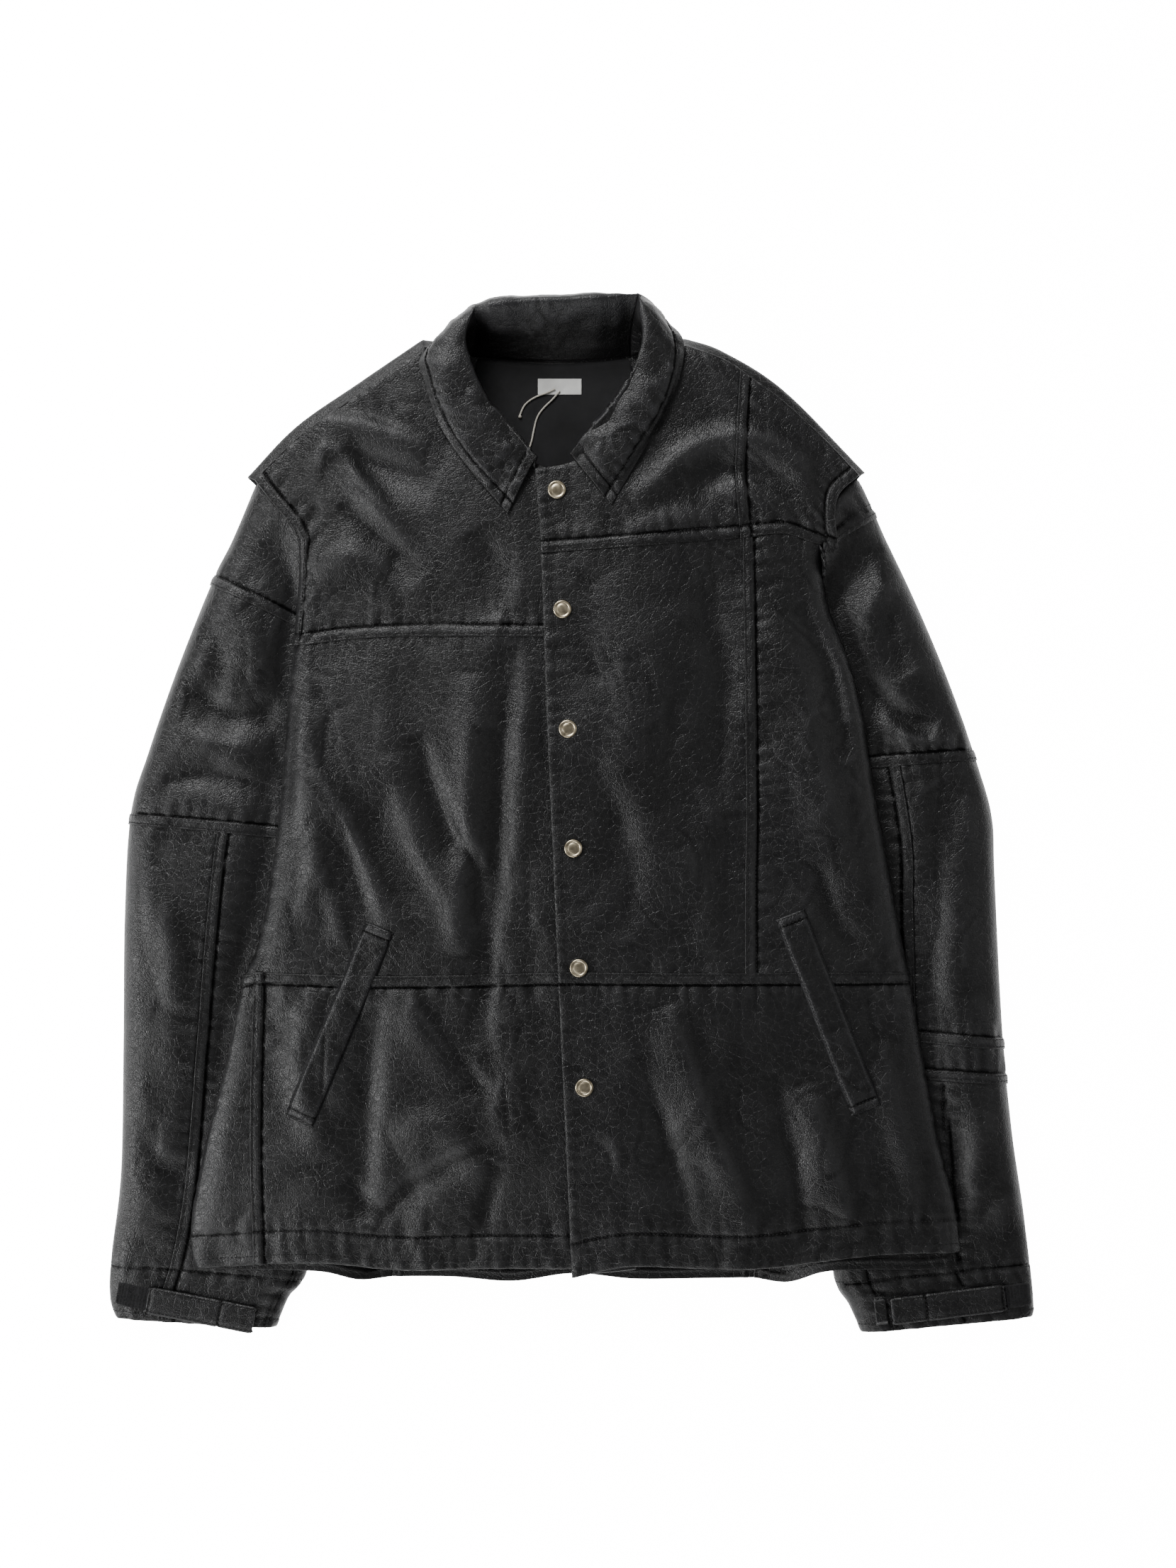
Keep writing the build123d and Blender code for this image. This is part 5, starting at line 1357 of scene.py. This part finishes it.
def strip_grid(name, wide, bend=0.6, seed=1, longer=0.0):
    """A grid over a slanted CAD strip: its ends come from its box, its width is given. The part longer
    than the box goes on over the sleeve's rounded edge."""
    low, high = box(name)
    side = 1 if low[0] > 0 else -1
    turn = TAB_SLANT[name.split("_")[0]]
    length = (high[0] - low[0] - wide * sin(turn)) / cos(turn)
    a, b = np.meshgrid(spread(length, 1.6), spread(wide, 1.3, (False, False)), indexing="ij")
    corner = np.clip(np.abs(a - 0.5) * length - (length / 2 - CORNER), 0, CORNER) / CORNER
    over = (b - 0.5) * wide * (1 - 0.16 * (1 - np.sqrt(np.clip(1 - corner**2, 0, 1))))
    x, y = plane((low + high) / 2, side * turn, (a - 0.5) * length * side + side * longer * a, over)
    rim = np.minimum(np.minimum(a, 1 - a) * length, np.minimum(b, 1 - b) * wide)
    z = high[2] + bend * noise(a * 3, b, seed) - (high[2] - low[2]) * 0.5 * (1 - rounded(rim, 1.6))
    if longer:
        sleeve = RIGHT_SLEEVE if side < 0 else LEFT_SLEEVE
        rim_x = np.abs(walk(sleeve["outer"], np.full(1, 0.985))[0, 0])
        z = z - 9.5 * (1 - rounded(rim_x + 1.5 - np.abs(x), 22))
    grid = np.dstack([x, y, z])
    return grid if normals(grid)[..., 2].mean() > 0 else grid[:, ::-1]


def hairs(grid, count, seed, reach=1.0):
    """Short bent hairs standing on a grid: three-sided tapering arcs at random places and leans."""
    chance = np.random.default_rng(seed)
    i, j = chance.integers(1, grid.shape[0] - 1, count), chance.integers(1, grid.shape[1] - 1, count)
    root = grid[i, j] + chance.normal(0, 0.4, (count, 3)) * (1, 1, 0)
    lean = chance.uniform(0, 2 * pi, count)
    way = np.stack([np.cos(lean), np.sin(lean), 0 * lean], -1)
    side = np.stack([-np.sin(lean), np.cos(lean), 0 * lean], -1)
    up = np.array([0, 0, 1.0])
    parts = []
    for t, r in ((0, 0.1), (0.4, 0.09), (0.8, 0.07), (1.0, 0.02)):
        centre = root + way * (0.9 * t * t * reach) + up * (reach * (t - 0.45 * t * t))
        parts.append(np.stack([centre + side * r * cos(q) + up * r * sin(q) for q in (0.5, 2.6, 4.7)], 1))
    points = np.stack(parts, 1).reshape(-1, 3)
    k = np.arange(12).reshape(4, 3)
    ahead = np.roll(k, -1, 1)
    face = np.stack([k[:-1], ahead[:-1], ahead[1:], k[1:]], -1).reshape(-1, 4)
    return points, (face[None] + 12 * np.arange(count)[:, None, None]).reshape(-1, 4)


for name, side in (("right", -1), ("left", 1)):
    grid = strip_grid(f"{name}_cuff_tab", 22, seed=900)
    tab = sew(f"{name}_tab_strap", grid, dict(top="none"), TRIM_LEATHER, seed=900, thickness=2.0,
              pucker=0.15, bands=[("left", 2.4), ("right", 2.4), ("bottom", 2.6), ("top", 30.0)])
    place(tab, [f"{name}_cuff_tab"], f"{name}_tab")
    grid = strip_grid(f"{name}_loop_patch", 19, bend=0.1, seed=910, longer=LOOP_SPARE)
    pile = make(f"{name}_loop_pile", [closed(grid, 0.9), hairs(grid, 2600, 910 + side)], LOOP_TAPE)
    place(pile, [f"{name}_loop_patch"], f"{name}_sleeve")
    grid = strip_grid(f"{name}_hook_patch", 17, bend=0.0, seed=920)
    below = grid[:, ::-1] - np.array([0, 0, 0.75])
    hook = make(f"{name}_hook_tape", [closed(grid, 0.7), hairs(below, 900, 920 + side, -0.25)], HOOK_TAPE)
    place(hook, [f"{name}_hook_patch"], f"{name}_tab")

# %% the left cuff's keeper
KEEPER_X, KEEPER_WIDTH, KEEPER_LENGTH = 253.9, 9.0, 23.4
low, high = box("left_cuff_tab")
a, b = cells(34, 10)
down = (0.5 - a) * KEEPER_LENGTH
x, y = plane((KEEPER_X, low[1] + 11.5), TAB_SLANT["left"], (b - 0.5) * KEEPER_WIDTH, down)
z = high[2] + 0.9 - 2.6 * step((np.abs(down) - 8.5) / 3.2) + 0.3 * noise(a * 3, b, 905)
keeper = sew("left_tab_keeper", np.dstack([x, y, z]), dict(top="none"), TRIM_LEATHER, seed=905,
             thickness=1.1, pucker=0.1)
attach(keeper, "left_sleeve")

# %% [markdown]
# ## Label and hang tag
# The neck label is a folded piece of plain satin ribbon, stitched at both ends, with no lettering. The
# tag is a plain card with round corners.

# %% label and tag
low, high = box("neck_label")
a, b = cells(18, 44)
z = high[2] + 0.35 * noise(b * 4, a * 2, 950) * step(np.minimum(b, 1 - b) * 8)
grid = np.dstack([low[0] + (high[0] - low[0]) * b, high[1] - (high[1] - low[1]) * a, z])
place(sew("neck_label_ribbon", grid, dict(top="none"), LABEL, slot="label_cloth", seed=950,
          thickness=0.45, pucker=0.0), ["neck_label"], "jacket_body")
TAG_WIDTH, TAG_LENGTH, TAG_CORNER = 28, 46, 3
low, high = box("hang_tag")
a, b = cells(24, 16)
corner = np.clip(np.abs(b - 0.5) * TAG_WIDTH - (TAG_WIDTH / 2 - TAG_CORNER), 0, TAG_CORNER) / TAG_CORNER
trim = (1 - np.sqrt(np.clip(1 - corner**2, 0, 1))) * TAG_CORNER
grid = np.dstack([low[0] + TAG_WIDTH * b, high[1] - TAG_LENGTH * a - trim * (1 - 2 * a),
                  high[2] + 0.4 * np.sin(pi * b) * np.sin(pi * a)])
place(sew("blank_hang_tag", grid, dict(top="none"), CARD, slot="tag_card", seed=960, thickness=0.5,
          pucker=0.0), ["hang_tag"], "jacket_body")
KNOT_PROFILE = [(0.0, 1.3), (0.9, 1.1), (1.4, 0.3), (1.3, -0.5), (0.8, -1.1), (0.0, -1.2)]
knot = make("string_knot", [turned(KNOT_PROFILE, (-44, 335, REST_Z + 0.3), 16)], COTTON)
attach(knot, "jacket_body")
